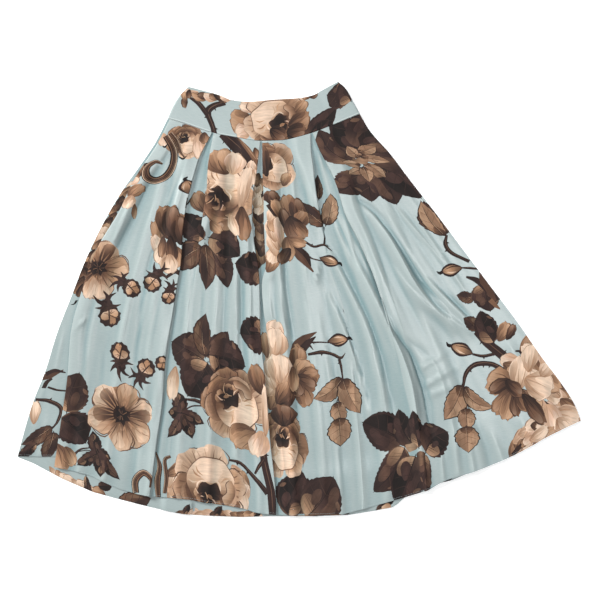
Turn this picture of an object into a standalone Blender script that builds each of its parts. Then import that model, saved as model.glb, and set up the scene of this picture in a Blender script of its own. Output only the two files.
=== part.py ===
"""A-line skirt with inverted pleats and a contoured waistband, laid flat.

Frame: metres, +Z up.  The skirt lies on the plane z = 0 on its back, the
waistband towards +Y and the hem towards -Y.  X runs across the hem.  The
origin is under the middle of the garment's box.

Every panel is one wall of cloth.  Its plan comes from a patch between the
waist seam, the hem and the two side seams.  Its height comes from a section
for each row: faces, pressed folds, returns and underlays.  The tables and the
section are in millimetres and are turned into metres when a mesh is made.
"""
import math

import bpy
import numpy as np

# ------------------------------------------------------------ driving sizes
CLOTH = 1.0          # wall of the skirt cloth
BAND = 2.0           # wall of the waistband: two layers and their interfacing
GAP = 0.3            # space between two pieces at a seam
FOLD_R = 0.8         # radius of a pressed fold, on the middle of the cloth
ARC_MIN = 1.4        # shortest arc of a fold that has opened out
HEM_UP = 50.0        # hem allowance turned up inside the back
HEM_LIFT = 20.0      # how much shorter the underlay at the left side hangs
SEAM_DROP = 0.6      # start of the panels below the waist seam
SAG = 1.2            # height of a face halfway between two pleats
ZIP_WIDTH = 22.0     # tape of the concealed side zip
ZIP_LENGTH = 170.0   # how far it runs below the waist seam
ZIP_INSET = 4.0      # its distance from the side seam
ORIGIN_X = 0.24      # the middle of the box in the tables' frame
ORIGIN_Y = -0.5

ROWS_FRONT = 15
ROWS_BACK = 10

# ------------------------------------------------------- outlines in plan
# columns: x, y
WAIST_SEAM = (
    (-262, 361), (-232, 352), (-171, 332), (-125, 323), (-76, 316),
    (-39, 317), (13, 328), (68, 348), (121, 370),
)
BAND_TOP = (
    (-220, 424), (-156, 406), (-134, 397), (-100, 394), (-52, 398),
    (-2, 401), (28, 407), (48, 418), (78, 434),
)
BAND_LEFT = ((-262, 361), (-251, 386), (-234, 411), (-220, 424))
BAND_RIGHT = ((121, 370), (108, 394), (93, 420), (78, 434))
SIDE_LEFT = (
    (-262, 361), (-286, 314), (-318, 266), (-352, 218), (-394, 146),
    (-428, 74), (-456, 2), (-484, -70), (-506, -142), (-534, -214),
    (-548, -262), (-562, -314),
)
SIDE_RIGHT = (
    (121, 370), (140, 338), (182, 290), (218, 242), (274, 170),
    (328, 98), (382, 26), (436, -46), (486, -118), (522, -166),
    (552, -214), (563, -243),
)
HEM_FRONT = (
    (-562, -314), (-486, -335), (-420, -352), (-376, -372), (-350, -382),
    (-292, -394), (-238, -398), (-182, -407), (-112, -418), (-84, -427),
    (2, -432), (82, -430), (122, -421), (162, -410), (218, -394),
    (256, -382), (290, -363), (348, -345), (425, -314), (510, -268),
    (563, -243),
)
HEM_BACK = (
    (-562, -316), (-532, -328), (-472, -360), (-412, -386), (-322, -410),
    (-262, -424), (-232, -430), (-172, -434), (-112, -436), (-52, -434),
    (38, -434), (98, -432), (158, -422), (190, -416), (218, -391),
    (248, -378), (308, -361), (368, -335), (458, -289), (522, -257),
    (559, -243),
)

# ---------------------------------------------------------- pressed folds
# upper: the side of the fold on which the cloth lies on top
# columns: x, y of the visible edge, length of the return, turn in degrees
SIDE_PLEAT = ("right", (
    (-258, 358, 14, 180), (-314, 262, 14, 180), (-359, 175, 13, 180),
    (-405, 96, 13, 180), (-445, -22, 12, 180), (-460, -130, 12, 180),
    (-473, -232, 11, 180), (-488, -336, 11, 180),
))
PLEAT_A_LEFT = ("left", (
    (-174, 332, 26, 180), (-201, 277, 24, 180), (-209, 250, 23, 180),
    (-228, 168, 20, 180), (-238, 58, 17, 180), (-250, -16, 15, 180),
    (-263, -94, 13, 180), (-276, -232, 11, 180), (-298, -396, 9, 180),
))
PLEAT_A_RIGHT = ("right", (
    (-170, 332, 26, 180), (-180, 276, 22, 180), (-184, 218, 14, 180),
    (-194, 150, 4, 150), (-200, 110, 2, 80), (-206, 60, 2, 30),
    (-222, -16, 2, 12), (-236, -94, 2, 10), (-250, -232, 2, 10),
    (-270, -398, 2, 10),
))
PLEAT_B_LEFT = ("left", (
    (-77, 316, 26, 180), (-82, 278, 25, 180), (-85, 249, 24, 180),
    (-93, 196, 22, 180), (-90, 118, 20, 180), (-81, 60, 18, 180),
    (-79, 32, 17, 180), (-78, -14, 16, 180), (-77, -70, 15, 180),
    (-68, -158, 13, 180), (-60, -252, 12, 180), (-52, -332, 11, 180),
    (-46, -429, 10, 180),
))
PLEAT_B_RIGHT = ("right", (
    (-73, 316, 26, 180), (-73, 278, 22, 180), (-72, 238, 18, 180),
    (-70, 160, 12, 180), (-66, 70, 8, 180), (-74, 30, 6, 180),
    (-73, 4, 5, 170), (-69, -35, 3, 120), (-64, -60, 2, 60),
    (-58, -100, 2, 20), (-45, -200, 2, 10), (-22, -431, 2, 10),
))
PLEAT_C_LEFT = ("left", (
    (23, 331, 26, 180), (24, 296, 22, 180), (28, 268, 16, 180),
    (31, 238, 10, 180), (35, 208, 4, 150), (41, 175, 2, 90),
    (48, 138, 2, 40), (62, 80, 2, 12), (90, 0, 2, 10),
    (110, -100, 2, 10), (120, -250, 2, 10), (128, -420, 2, 10),
))
PLEAT_C_RIGHT = ("right", (
    (27, 332, 26, 180), (38, 304, 24, 180), (52, 276, 22, 180),
    (76, 224, 18, 180), (91, 172, 15, 180), (119, 116, 10, 180),
    (144, 58, 5, 165), (162, 6, 2, 110), (176, -40, 2, 60),
    (192, -100, 2, 25), (212, -200, 2, 12), (226, -262, 2, 10),
    (236, -388, 2, 10),
))
FRONT_FOLDS = (SIDE_PLEAT, PLEAT_A_LEFT, PLEAT_A_RIGHT, PLEAT_B_LEFT,
               PLEAT_B_RIGHT, PLEAT_C_LEFT, PLEAT_C_RIGHT)

# the back's three inverted pleats lie between the front's
BACK_FOLDS = (
    ("left", ((-126, 323, 18, 180), (-152, 180, 15, 180),
              (-196, -60, 12, 180), (-262, -424, 10, 180))),
    ("right", ((-122, 323, 18, 180), (-140, 180, 15, 180),
               (-176, -60, 12, 180), (-238, -428, 10, 180))),
    ("left", ((-26, 319, 18, 180), (-22, 180, 15, 180),
              (-12, -60, 12, 180), (4, -433, 10, 180))),
    ("right", ((-22, 320, 18, 180), (-12, 180, 15, 180),
               (4, -60, 12, 180), (26, -433, 10, 180))),
    ("left", ((60, 344, 14, 180), (108, 220, 13, 180),
              (206, -60, 12, 180), (306, -360, 10, 180))),
    ("right", ((64, 345, 14, 180), (118, 220, 13, 180),
               (220, -60, 12, 180), (330, -350, 10, 180))),
)

# -------------------------------------------------- soft folds of the front
# columns: x, y, height; then the half width at the crest
SOFT_FOLDS = (
    (((-300, 262, 0), (-330, 120, 3), (-362, -60, 4), (-380, -220, 5),
      (-395, -366, 5)), 22),
    (((-222, 300, 0), (-262, 150, 3), (-300, -40, 4), (-322, -220, 4),
      (-340, -384, 4)), 18),
    (((-130, 300, 0), (-140, 160, 3), (-150, -20, 4), (-150, -240, 4),
      (-150, -412, 4)), 22),
    (((-100, 290, 0), (-104, 120, 2), (-98, -60, 3), (-92, -260, 3),
      (-86, -426, 3)), 14),
    (((-45, 300, 0), (-40, 180, 3), (-34, 60, 5), (-22, -60, 5),
      (-10, -240, 5), (-2, -430, 5)), 14),
    (((30, 120, 0), (40, 0, 3), (52, -120, 4), (60, -260, 4),
      (66, -430, 4)), 24),
    (((76, 224, 1), (146, 58, 5), (192, -82, 8), (212, -182, 8),
      (226, -262, 6), (240, -388, 4)), 18),
    (((152, 170, 0), (183, 118, 4), (214, 72, 6), (238, 32, 7),
      (282, -42, 6), (312, -82, 5), (330, -348, 3)), 20),
    (((230, 160, 0), (300, 60, 3), (360, -60, 4), (400, -180, 4),
      (430, -308, 4)), 26),
)


# ------------------------------------------------------------------ curves
def smooth(xs, ys, x):
    """Monotone cubic through the knots, held straight past both ends."""
    xs = np.asarray(xs, float)
    ys = np.asarray(ys, float)
    x = np.asarray(x, float)
    step = np.diff(xs)
    slope = np.diff(ys) / step
    tangent = np.empty_like(ys)
    tangent[0], tangent[-1] = slope[0], slope[-1]
    for k in range(1, len(xs) - 1):
        left, right = slope[k - 1], slope[k]
        if left * right <= 0:
            tangent[k] = 0.0
        else:
            w1 = 2 * step[k] + step[k - 1]
            w2 = step[k] + 2 * step[k - 1]
            tangent[k] = (w1 + w2) / (w1 / left + w2 / right)
    k = np.clip(np.searchsorted(xs, x) - 1, 0, len(xs) - 2)
    t = (x - xs[k]) / step[k]
    tc = np.clip(t, 0.0, 1.0)
    t2, t3 = tc * tc, tc * tc * tc
    value = ((2 * t3 - 3 * t2 + 1) * ys[k]
             + (t3 - 2 * t2 + tc) * step[k] * tangent[k]
             + (3 * t2 - 2 * t3) * ys[k + 1]
             + (t3 - t2) * step[k] * tangent[k + 1])
    value = value + np.where(t < 0, t * step[k] * tangent[k], 0.0)
    return value + np.where(t > 1, (t - 1) * step[k] * tangent[k + 1], 0.0)


class Curve:
    """A smooth plan curve through a table's points, by its length from 0 to 1."""

    def __init__(self, points, count=400):
        pts = np.asarray(points, float)
        span = np.r_[0, np.cumsum(np.hypot(*np.diff(pts, axis=0).T))]
        t = np.linspace(0, span[-1], count)
        line = np.c_[smooth(span, pts[:, 0], t), smooth(span, pts[:, 1], t)]
        run = np.r_[0, np.cumsum(np.hypot(*np.diff(line, axis=0).T))]
        self.length = run[-1]
        self.run, self.line = run / run[-1], line

    def at(self, t):
        t = np.asarray(t, float)
        inside = np.clip(t, 0, 1)
        out = np.stack([np.interp(inside, self.run, self.line[:, i])
                        for i in (0, 1)], -1)
        end = (self.line[-1] - self.line[-6]) / (self.run[-1] - self.run[-6])
        return out + np.maximum(t - 1, 0)[..., None] * end


class Patch:
    """The plan between four curves: a runs left to right, v top to bottom."""

    def __init__(self, top, bottom, left, right):
        self.top, self.bottom = Curve(top), Curve(bottom)
        self.left, self.right = Curve(left), Curve(right)

    def at(self, a, v):
        a, v = np.broadcast_arrays(np.asarray(a, float), np.asarray(v, float))
        w, h = self.top.at(a), self.bottom.at(a)
        w0, w1 = self.top.at(0.0), self.top.at(1.0)
        h0, h1 = self.bottom.at(0.0), self.bottom.at(1.0)
        a_, v_ = a[..., None], v[..., None]
        return ((1 - v_) * w + v_ * h
                + (1 - a_) * (self.left.at(v) - (1 - v_) * w0 - v_ * h0)
                + a_ * (self.right.at(v) - (1 - v_) * w1 - v_ * h1))

    def row(self, v, count=400):
        """Fractions a and distances s along one row."""
        a = np.linspace(0, 1, count)
        p = self.at(a, v)
        s = np.r_[0, np.cumsum(np.hypot(*np.diff(p, axis=0).T))]
        return a, s

    def find(self, x, y):
        """The a and v whose plan point is x, y."""
        ga, gv = np.meshgrid(np.linspace(0, 1, 81), np.linspace(0, 1.06, 81))
        p = self.at(ga, gv)
        k = np.argmin((p[..., 0] - x) ** 2 + (p[..., 1] - y) ** 2)
        a, v = ga.flat[k], gv.flat[k]
        e = 1e-3
        for _ in range(12):
            here = self.at(a, v)
            da = (self.at(a + e, v) - self.at(a - e, v)) / (2 * e)
            dv = (self.at(a, v + e) - self.at(a, v - e)) / (2 * e)
            step = np.linalg.solve(np.stack([da, dv], 1),
                                   np.array([x, y]) - here)
            a, v = a + step[0], v + step[1]
        return a, v


BODY = Patch(WAIST_SEAM, HEM_FRONT, SIDE_LEFT, SIDE_RIGHT)
LENGTH = 0.5 * (BODY.left.length + BODY.right.length)


class Track:
    """A table's line in the patch: a and the table's other columns along v."""

    def __init__(self, rows):
        found = sorted((BODY.find(r[0], r[1])[::-1] + tuple(r[2:])
                        for r in rows), key=lambda r: r[0])
        self.table = np.array(found, float)

    def at(self, v, column):
        t = self.table
        v = np.clip(v, t[0, 0], t[-1, 0])
        return float(smooth(t[:, 0], t[:, column], v))


# ----------------------------------------------------------------- section
def fold(edge, ret, turn, inner, outer):
    """One pressed fold with its upper layer on the right, from the start of
    the inner turn to the end of the outer turn.  Heights are from the face."""
    th = math.radians(turn)
    r = max(FOLD_R, ARC_MIN / th)
    drop = 2 * r * (1 - math.cos(th)) + ret * math.sin(th)
    p = edge + r - r * math.sin(th)
    start = p - ret * math.cos(th) - r * math.sin(th)
    zp = -drop + r * (1 - math.cos(th)) + ret * math.sin(th)
    pts = []
    for k in range(inner + 1):
        f = th * k / inner
        pts.append((start + r * math.sin(f), -drop + r * (1 - math.cos(f))))
    for k in range(outer + 1):
        f = th * (1 - k / outer)
        pts.append((p + r * (math.sin(th) - math.sin(f)),
                    zp + r * (math.cos(f) - math.cos(th))))
    return pts, drop


class Section:
    """The folds of one panel, read at a row."""

    def __init__(self, folds):
        self.sides = [side for side, _ in folds]
        self.tracks = [Track(rows) for _, rows in folds]

    def row(self, v):
        """Edge position, return, drop and points of each fold, and the row."""
        a, s = BODY.row(v)
        out = []
        for side, track in zip(self.sides, self.tracks):
            edge = float(np.interp(track.at(v, 1), a, s))
            ret, turn = track.at(v, 2), track.at(v, 3)
            pts, drop = fold(edge, ret, turn, 2, 3)
            if side == "left":
                pts = [(2 * edge - ps, pz) for ps, pz in reversed(pts)]
            out.append((side, edge, ret, drop, pts))
        return a, s, out


FRONT = Section(FRONT_FOLDS)
BACK = Section(BACK_FOLDS)


def reach(ret):
    """How far a pressed fold's layers run back from its edge."""
    return ret + 2 * FOLD_R + CLOTH / 2


def back_stack(v, s, keep, ramp):
    """Height of the back's returns and underlays above its face: full out to
    keep past each pleat's inner turns, and gone after another ramp."""
    _, _, folds = BACK.row(min(v, 1.0))
    height = np.zeros_like(s)
    for (_, el, rl, dl, _), (_, er, rr, dr, _) in zip(folds[::2], folds[1::2]):
        lo, hi = el - reach(rl) - keep, er + reach(rr) + keep
        edge = np.minimum((s - lo) / ramp + 1, (hi - s) / ramp + 1)
        height = np.maximum(height, max(dl, dr) * np.clip(edge, 0, 1))
    return height


def back_end(a):
    """The v at which the back's hem line crosses each column a."""
    xs, ys = np.array(HEM_BACK, float).T
    lo, hi = np.full_like(a, 0.9), np.full_like(a, 1.12)
    for _ in range(30):
        mid = 0.5 * (lo + hi)
        p = BODY.at(a, mid)
        above = p[:, 1] > np.interp(p[:, 0], xs, ys)
        lo, hi = np.where(above, mid, lo), np.where(above, hi, mid)
    return 0.5 * (lo + hi)


def front_face(v, s, length, folds):
    """Height of the front's faces over the level its underlays lie on."""
    knots = [(0.0, folds[0][3])]
    _, e, ret, drop, _ = folds[0]
    knots += [(e + reach(ret), drop), (e + reach(ret) + 16, SAG)]
    for (_, el, rl, dl, _), (_, er, rr, dr, _) in zip(folds[1::2], folds[2::2]):
        knots += [(el - reach(rl) - 16, SAG), (el - reach(rl), dl), (el, dl),
                  (er, dr), (er + reach(rr), dr), (er + reach(rr) + 16, SAG)]
    knots += [(length - 24, SAG), (length, 0.0)]
    ks = np.maximum.accumulate([k[0] for k in knots])
    return np.interp(s, ks + np.arange(len(ks)) * 1e-6, [k[1] for k in knots])


def front_base(v, s, a, length):
    """Height of the front's lowest layer: it lies on the back, on the back's
    pleats, on the turned-up hem and on the zip."""
    base = 1.5 * CLOTH + GAP + back_stack(v, s, 24, 20)
    down = (v - back_end(a)) * LENGTH + HEM_UP
    base = base + (CLOTH + GAP) * np.clip((down + 60) / 30, 0, 1)
    near = np.clip((s - (length - ZIP_INSET - ZIP_WIDTH - 40)) / 30, 0, 1)
    along = np.clip((ZIP_LENGTH + 70 - v * LENGTH) / 50, 0, 1)
    along = along + 0.9 * np.clip((30 - v * LENGTH) / 20, 0, 1)
    return base + (CLOTH + GAP) * near * along


SOFT = [(Track(rows), width) for rows, width in SOFT_FOLDS]


def soft_height(v, s, a_row, s_row):
    """Sum of the soft folds at one row."""
    height = np.zeros_like(s)
    for track, width in SOFT:
        if v < track.table[0, 0]:
            continue
        crest = float(np.interp(track.at(v, 1), a_row, s_row))
        height += track.at(v, 2) * np.exp(-((s - crest) / width) ** 2)
    return height


# -------------------------------------------------------------- solid shells
def loft(name, upper, lower, colour, roughness):
    """A closed wall between two grids of points, one named object."""
    rows, cols = upper.shape[:2]
    pts = np.concatenate([upper.reshape(-1, 3), lower.reshape(-1, 3)])
    pts = pts - np.array([ORIGIN_X, ORIGIN_Y, 0.0])
    n = rows * cols

    def u(j, i):
        return j * cols + i

    faces = []
    for j in range(rows - 1):
        for i in range(cols - 1):
            quad = (u(j, i), u(j + 1, i), u(j + 1, i + 1), u(j, i + 1))
            for tri in ((quad[0], quad[1], quad[2]), (quad[0], quad[2], quad[3])):
                faces.append(tri)
                faces.append(tuple(n + k for k in reversed(tri)))
    rim = ([u(0, i) for i in range(cols)]
           + [u(j, cols - 1) for j in range(1, rows)]
           + [u(rows - 1, i) for i in range(cols - 2, -1, -1)]
           + [u(j, 0) for j in range(rows - 2, 0, -1)])
    for k, here in enumerate(rim):
        there = rim[(k + 1) % len(rim)]
        faces.append((here, there, n + there))
        faces.append((here, n + there, n + here))
    tri = pts[np.array(faces)]
    volume = np.einsum("ij,ij->i", tri[:, 0],
                       np.cross(tri[:, 1], tri[:, 2])).sum() / 6
    if volume < 0:
        faces = [tuple(reversed(f)) for f in faces]

    mesh = bpy.data.meshes.new(name)
    mesh.from_pydata((pts * 0.001).tolist(), [], faces)
    mesh.validate()
    mesh.shade_smooth()
    mesh.set_sharp_from_angle(angle=math.radians(50))
    material = bpy.data.materials.new(name)
    material.use_nodes = True
    shader = material.node_tree.nodes["Principled BSDF"]
    shader.inputs["Base Color"].default_value = (*colour, 1.0)
    shader.inputs["Roughness"].default_value = roughness
    shader.inputs["Metallic"].default_value = 0.0
    mesh.materials.append(material)
    piece = bpy.data.objects.new(name, mesh)
    bpy.context.scene.collection.objects.link(piece)
    piece.parent = bpy.data.objects["skirt"]
    return piece


def wall(sections, thickness):
    """Upper and lower grids of a wall whose middle is given row by row.

    Each row is (plan points, unit direction along the row, s, z)."""
    upper, lower = [], []
    for plan, direction, s, z in sections:
        seg = np.c_[np.diff(s), np.diff(z)]
        seg /= np.linalg.norm(seg, axis=1)[:, None]
        normal = np.c_[-seg[:, 1], seg[:, 0]]
        mean = np.r_[normal[:1], normal[:-1] + normal[1:], normal[-1:]]
        mean /= np.linalg.norm(mean, axis=1)[:, None]
        off = np.c_[direction * mean[:, :1], mean[:, 1]] * thickness / 2
        mid = np.c_[plan, z]
        upper.append(mid + off)
        lower.append(mid - off)
    return np.array(upper), np.array(lower)


def row_frame(a, v):
    """Plan points of a row and the unit direction along it at each one."""
    plan = BODY.at(a, v)
    e = 2e-3
    lo, hi = np.clip(a - e, 0, 1), np.clip(a + e, 0, 1)
    along = BODY.at(hi, v) - BODY.at(lo, v)
    return plan, along / np.linalg.norm(along, axis=1)[:, None]


def span(start, end, count):
    """Points strictly between two positions."""
    return [start + (end - start) * k / count for k in range(1, count)]


def panel_rows(count):
    """Rows from the waist seam to the hem, closer where the pleats are deep."""
    t = np.linspace(0, 1, count + 1)
    v = t - 0.12 * np.sin(math.pi * t) * (1 - t)
    v[0] = SEAM_DROP / LENGTH
    return v


# -------------------------------------------------------------- front panel
FACE_STEPS = (6, 7, 6, 14)     # pieces of each face from left to right


def front_section(v):
    """Points of the front's middle across one row: s, a, z, and lift."""
    a_row, s_row, folds = FRONT.row(v)
    length = s_row[-1]
    s, z, lift = [], [], []

    def put(ps, pz, up=0.0):
        s.append(ps), z.append(pz), lift.append(up)

    _, e0, _, d0, pts0 = folds[0]
    for ps in (0.0, 0.5 * e0, e0):
        put(ps, -d0, HEM_LIFT * ps / e0)
    for k, (ps, pz) in enumerate(pts0):
        put(ps, pz, HEM_LIFT * max(0.0, 1 - k / 3))
    for n, (left, right) in enumerate(zip(folds[1::2], folds[2::2])):
        for ps in span(s[-1], left[4][0][0], FACE_STEPS[n]):
            put(ps, 0.0)
        for ps, pz in left[4]:
            put(ps, pz)
        put(left[1], -left[3])
        put(right[1], -right[3])
        for ps, pz in right[4]:
            put(ps, pz)
    for ps in span(s[-1], length, FACE_STEPS[-1]):
        put(ps, 0.0)
    put(length, 0.0)

    s, z, lift = np.array(s), np.array(z), np.array(lift)
    a = np.interp(s, s_row, a_row)
    z = (z + front_face(v, s, length, folds)
         + front_base(v, s, a, length) + soft_height(v, s, a_row, s_row))
    return s, a, z, lift


def front_panel():
    rows = []
    for v in panel_rows(ROWS_FRONT):
        s, a, z, lift = front_section(v)
        vv = v * (1 - lift / LENGTH)
        plan, along = row_frame(a, vv)
        rows.append((plan, along, s, z))
    return wall(rows, CLOTH)


# --------------------------------------------------------------- back panel
def back_panel():
    rows = []
    for v in panel_rows(ROWS_BACK):
        a_row, s_row, folds = BACK.row(v)
        length = s_row[-1]
        s, z = [0.0], [0.0]
        for left, right in zip(folds[::2], folds[1::2]):
            for ps in span(s[-1], left[4][0][0], 3):
                s.append(ps), z.append(0.0)
            for ps, pz in left[4]:
                s.append(ps), z.append(pz)
            s += [left[1], right[1]]
            z += [-left[3], -right[3]]
            for ps, pz in right[4]:
                s.append(ps), z.append(pz)
        for ps in span(s[-1], length, 5):
            s.append(ps), z.append(0.0)
        s.append(length), z.append(0.0)
        s, z = np.array(s), CLOTH / 2 - np.array(z)
        a = np.interp(s, s_row, a_row)
        plan, along = row_frame(a, v * back_end(a))
        rows.append((plan, along, s, z))
    return wall(rows, CLOTH)


def back_hem():
    """The allowance turned up inside the back, lying on its upper layers."""
    rows = []
    for up in (HEM_UP, HEM_UP / 2, 0.4):
        v = 1 - up / LENGTH
        a_row, s_row, folds = BACK.row(v)
        marks = [0.6]
        for left, right in zip(folds[::2], folds[1::2]):
            lo = left[1] - reach(left[2]) - 3.0
            hi = right[1] + reach(right[2]) + 3.0
            marks += span(marks[-1], lo - 5.0, 5) + [lo - 5.0, lo]
            marks += [0.5 * (lo + hi), hi, hi + 5.0]
        marks += span(marks[-1], s_row[-1] - 0.6, 7) + [s_row[-1] - 0.6]
        s = np.array(marks)
        a = np.interp(s, s_row, a_row)
        z = 1.5 * CLOTH + GAP + back_stack(v, s, 3.0, 5.0)
        plan, along = row_frame(a, back_end(a) - up / LENGTH)
        rows.append((plan, along, s, z))
    return wall(rows, CLOTH)


# ---------------------------------------------------------------- waistband
BAND_PLAN = Patch(BAND_TOP, WAIST_SEAM, tuple(reversed(BAND_LEFT)),
                  tuple(reversed(BAND_RIGHT)))


def band(front):
    """Half of the waistband: the front lies on the back and on the zip."""
    a = np.linspace(0, 1, 23)
    upper, lower = [], []
    for v in np.linspace(0, 1, 4):
        plan = BAND_PLAN.at(a, v)
        z = np.full_like(a, BAND / 2)
        if front:
            z = z + BAND + GAP + 1.9 * np.sqrt(np.sin(math.pi * a))
            z = z + (CLOTH + GAP) * np.clip((a - 0.84) / 0.06, 0, 1)
        mid = np.c_[plan, z]
        up = np.array([0.0, 0.0, BAND / 2])
        upper.append(mid + up)
        lower.append(mid - up)
    return np.array(upper), np.array(lower)


def side_zip():
    """The closed tape of the concealed zip, along the right side seam."""
    mids = []
    top = BAND_PLAN.at(1.0, np.linspace(0.12, 1, 4))
    low = BODY.at(1.0, np.array([8, 40, 80, 120, ZIP_LENGTH]) / LENGTH)
    line = np.concatenate([top, low])
    height = np.array([BAND + GAP + CLOTH / 2] * 4 + [1.5 * CLOTH + GAP] * 5)
    way = np.gradient(line, axis=0)
    way /= np.linalg.norm(way, axis=1)[:, None]
    inward = np.c_[way[:, 1], -way[:, 0]]
    inward *= np.sign(inward[:, :1]) * -1
    for off in (ZIP_INSET, ZIP_INSET + ZIP_WIDTH / 2, ZIP_INSET + ZIP_WIDTH):
        mids.append(np.c_[line + inward * off, height])
    mid = np.array(mids).transpose(1, 0, 2)
    up = np.array([0.0, 0.0, CLOTH / 2])
    return mid + up, mid - up


# -------------------------------------------------------------------- build
def main():
    for piece in list(bpy.data.objects):
        bpy.data.objects.remove(piece, do_unlink=True)
    root = bpy.data.objects.new("skirt", None)
    bpy.context.scene.collection.objects.link(root)
    satin = (0.49, 0.62, 0.65)
    loft("front_panel", *front_panel(), satin, 0.38)
    loft("back_panel", *back_panel(), (0.45, 0.58, 0.61), 0.38)
    loft("back_hem", *back_hem(), (0.52, 0.64, 0.66), 0.4)
    loft("front_waistband", *band(True), (0.55, 0.67, 0.69), 0.36)
    loft("back_waistband", *band(False), (0.47, 0.60, 0.63), 0.36)
    loft("side_zip", *side_zip(), (0.42, 0.53, 0.56), 0.6)


main()
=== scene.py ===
"""A-line skirt in printed satin, laid flat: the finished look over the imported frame."""
import math
import random

import bpy
import numpy as np
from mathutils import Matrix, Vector
from mathutils.geometry import delaunay_2d_cdt


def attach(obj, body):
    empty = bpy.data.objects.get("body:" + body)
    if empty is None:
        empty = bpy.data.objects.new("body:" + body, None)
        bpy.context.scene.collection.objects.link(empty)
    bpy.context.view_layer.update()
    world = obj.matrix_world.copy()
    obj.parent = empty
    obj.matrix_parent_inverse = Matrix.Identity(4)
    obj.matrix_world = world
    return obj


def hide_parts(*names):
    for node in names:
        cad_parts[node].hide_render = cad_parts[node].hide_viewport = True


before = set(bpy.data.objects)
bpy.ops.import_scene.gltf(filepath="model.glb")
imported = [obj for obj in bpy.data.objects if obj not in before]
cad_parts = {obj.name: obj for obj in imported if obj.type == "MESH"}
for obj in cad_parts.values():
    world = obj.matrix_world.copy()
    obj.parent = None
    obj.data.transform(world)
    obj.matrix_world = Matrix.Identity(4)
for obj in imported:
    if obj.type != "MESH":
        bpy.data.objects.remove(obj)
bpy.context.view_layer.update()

# =====================================================================
# Sizes, in millimetres, the same as the solids'
# =====================================================================
CLOTH = 1.0
BAND = 2.0
GAP = 0.3
HEM_UP = 50.0
HEM_LIFT = 20.0
SEAM_DROP = 0.6
SAG = 1.2
ZIP_WIDTH = 22.0
ZIP_LENGTH = 170.0
ZIP_INSET = 4.0
ORIGIN = np.array([0.24, -0.5, 0.0])

DEPTH = 1.3          # how deep the table's creases are pressed
SLACK = 0.10         # height of the finest ripples
FOLD_R = 1.5         # radius of a fold away from the waist seam
FOLD_R_TOP = 0.75    # and pressed flat under the waistband
BACK_R = 0.8
ARC_MIN = 1.4


def at(px, py):
    """A plan point in millimetres from a point of the 600 x 600 frame."""
    return 2.0 * (px - 299.0), 2.0 * (299.0 - py)


# ---------------------------------------------------------------- outlines
WAIST_SEAM = (
    (-262, 361), (-232, 352), (-171, 332), (-125, 323), (-76, 316),
    (-39, 317), (13, 328), (68, 348), (121, 370),
)
BAND_TOP = (
    (-220, 424), (-156, 406), (-134, 397), (-100, 394), (-52, 398),
    (-2, 401), (28, 407), (48, 418), (78, 434),
)
BAND_LEFT = ((-262, 361), (-251, 386), (-234, 411), (-220, 424))
BAND_RIGHT = ((121, 370), (108, 394), (93, 420), (78, 434))
SIDE_LEFT = (
    (-262, 361), (-286, 314), (-318, 266), (-352, 218), (-394, 146),
    (-428, 74), (-456, 2), (-484, -70), (-506, -142), (-534, -214),
    (-548, -262), (-562, -314),
)
SIDE_RIGHT = (
    (121, 370), (140, 338), (182, 290), (218, 242), (274, 170),
    (328, 98), (382, 26), (436, -46), (486, -118), (522, -166),
    (552, -214), (563, -243),
)
HEM_FRONT = (
    (-562, -314), (-486, -335), (-420, -352), (-376, -372), (-350, -382),
    (-292, -394), (-238, -398), (-182, -407), (-112, -418), (-84, -427),
    (2, -432), (82, -430), (122, -421), (162, -410), (218, -394),
    (256, -382), (290, -363), (348, -345), (425, -314), (510, -268),
    (563, -243),
)
HEM_BACK = (
    (-562, -316), (-532, -328), (-472, -360), (-412, -386), (-322, -410),
    (-262, -424), (-232, -430), (-172, -434), (-112, -436), (-52, -434),
    (38, -434), (98, -432), (158, -422), (190, -416), (218, -391),
    (248, -378), (308, -361), (368, -335), (458, -289), (522, -257),
    (559, -243),
)

# ------------------------------------------------------------ pressed folds
SIDE_PLEAT = ("right", (
    (-258, 358, 14, 180), (-314, 262, 14, 180), (-359, 175, 13, 180),
    (-405, 96, 13, 180), (-445, -22, 12, 180), (-460, -130, 12, 180),
    (-473, -232, 11, 180), (-488, -336, 11, 180),
))
PLEAT_A_LEFT = ("left", (
    (-174, 332, 26, 180), (-201, 277, 24, 180), (-209, 250, 23, 180),
    (-228, 168, 20, 180), (-238, 58, 17, 180), (-250, -16, 15, 180),
    (-263, -94, 13, 180), (-276, -232, 11, 180), (-298, -396, 9, 180),
))
PLEAT_A_RIGHT = ("right", (
    (-170, 332, 26, 180), (-180, 276, 22, 180), (-184, 218, 14, 180),
    (-194, 150, 4, 150), (-200, 110, 2, 80), (-206, 60, 2, 30),
    (-222, -16, 2, 12), (-236, -94, 2, 10), (-250, -232, 2, 10),
    (-270, -398, 2, 10),
))
PLEAT_B_LEFT = ("left", (
    (-77, 316, 26, 180), (-82, 278, 25, 180), (-85, 249, 24, 180),
    (-93, 196, 22, 180), (-90, 118, 20, 180), (-81, 60, 18, 180),
    (-79, 32, 17, 180), (-78, -14, 16, 180), (-77, -70, 15, 180),
    (-68, -158, 13, 180), (-60, -252, 12, 180), (-52, -332, 11, 180),
    (-46, -429, 10, 180),
))
PLEAT_B_RIGHT = ("right", (
    (-73, 316, 26, 180), (-73, 278, 22, 180), (-72, 238, 18, 180),
    (-70, 160, 12, 180), (-66, 70, 8, 180), (-74, 30, 6, 180),
    (-73, 4, 5, 170), (-69, -35, 3, 120), (-64, -60, 2, 60),
    (-58, -100, 2, 20), (-45, -200, 2, 10), (-22, -431, 2, 10),
))
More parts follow.
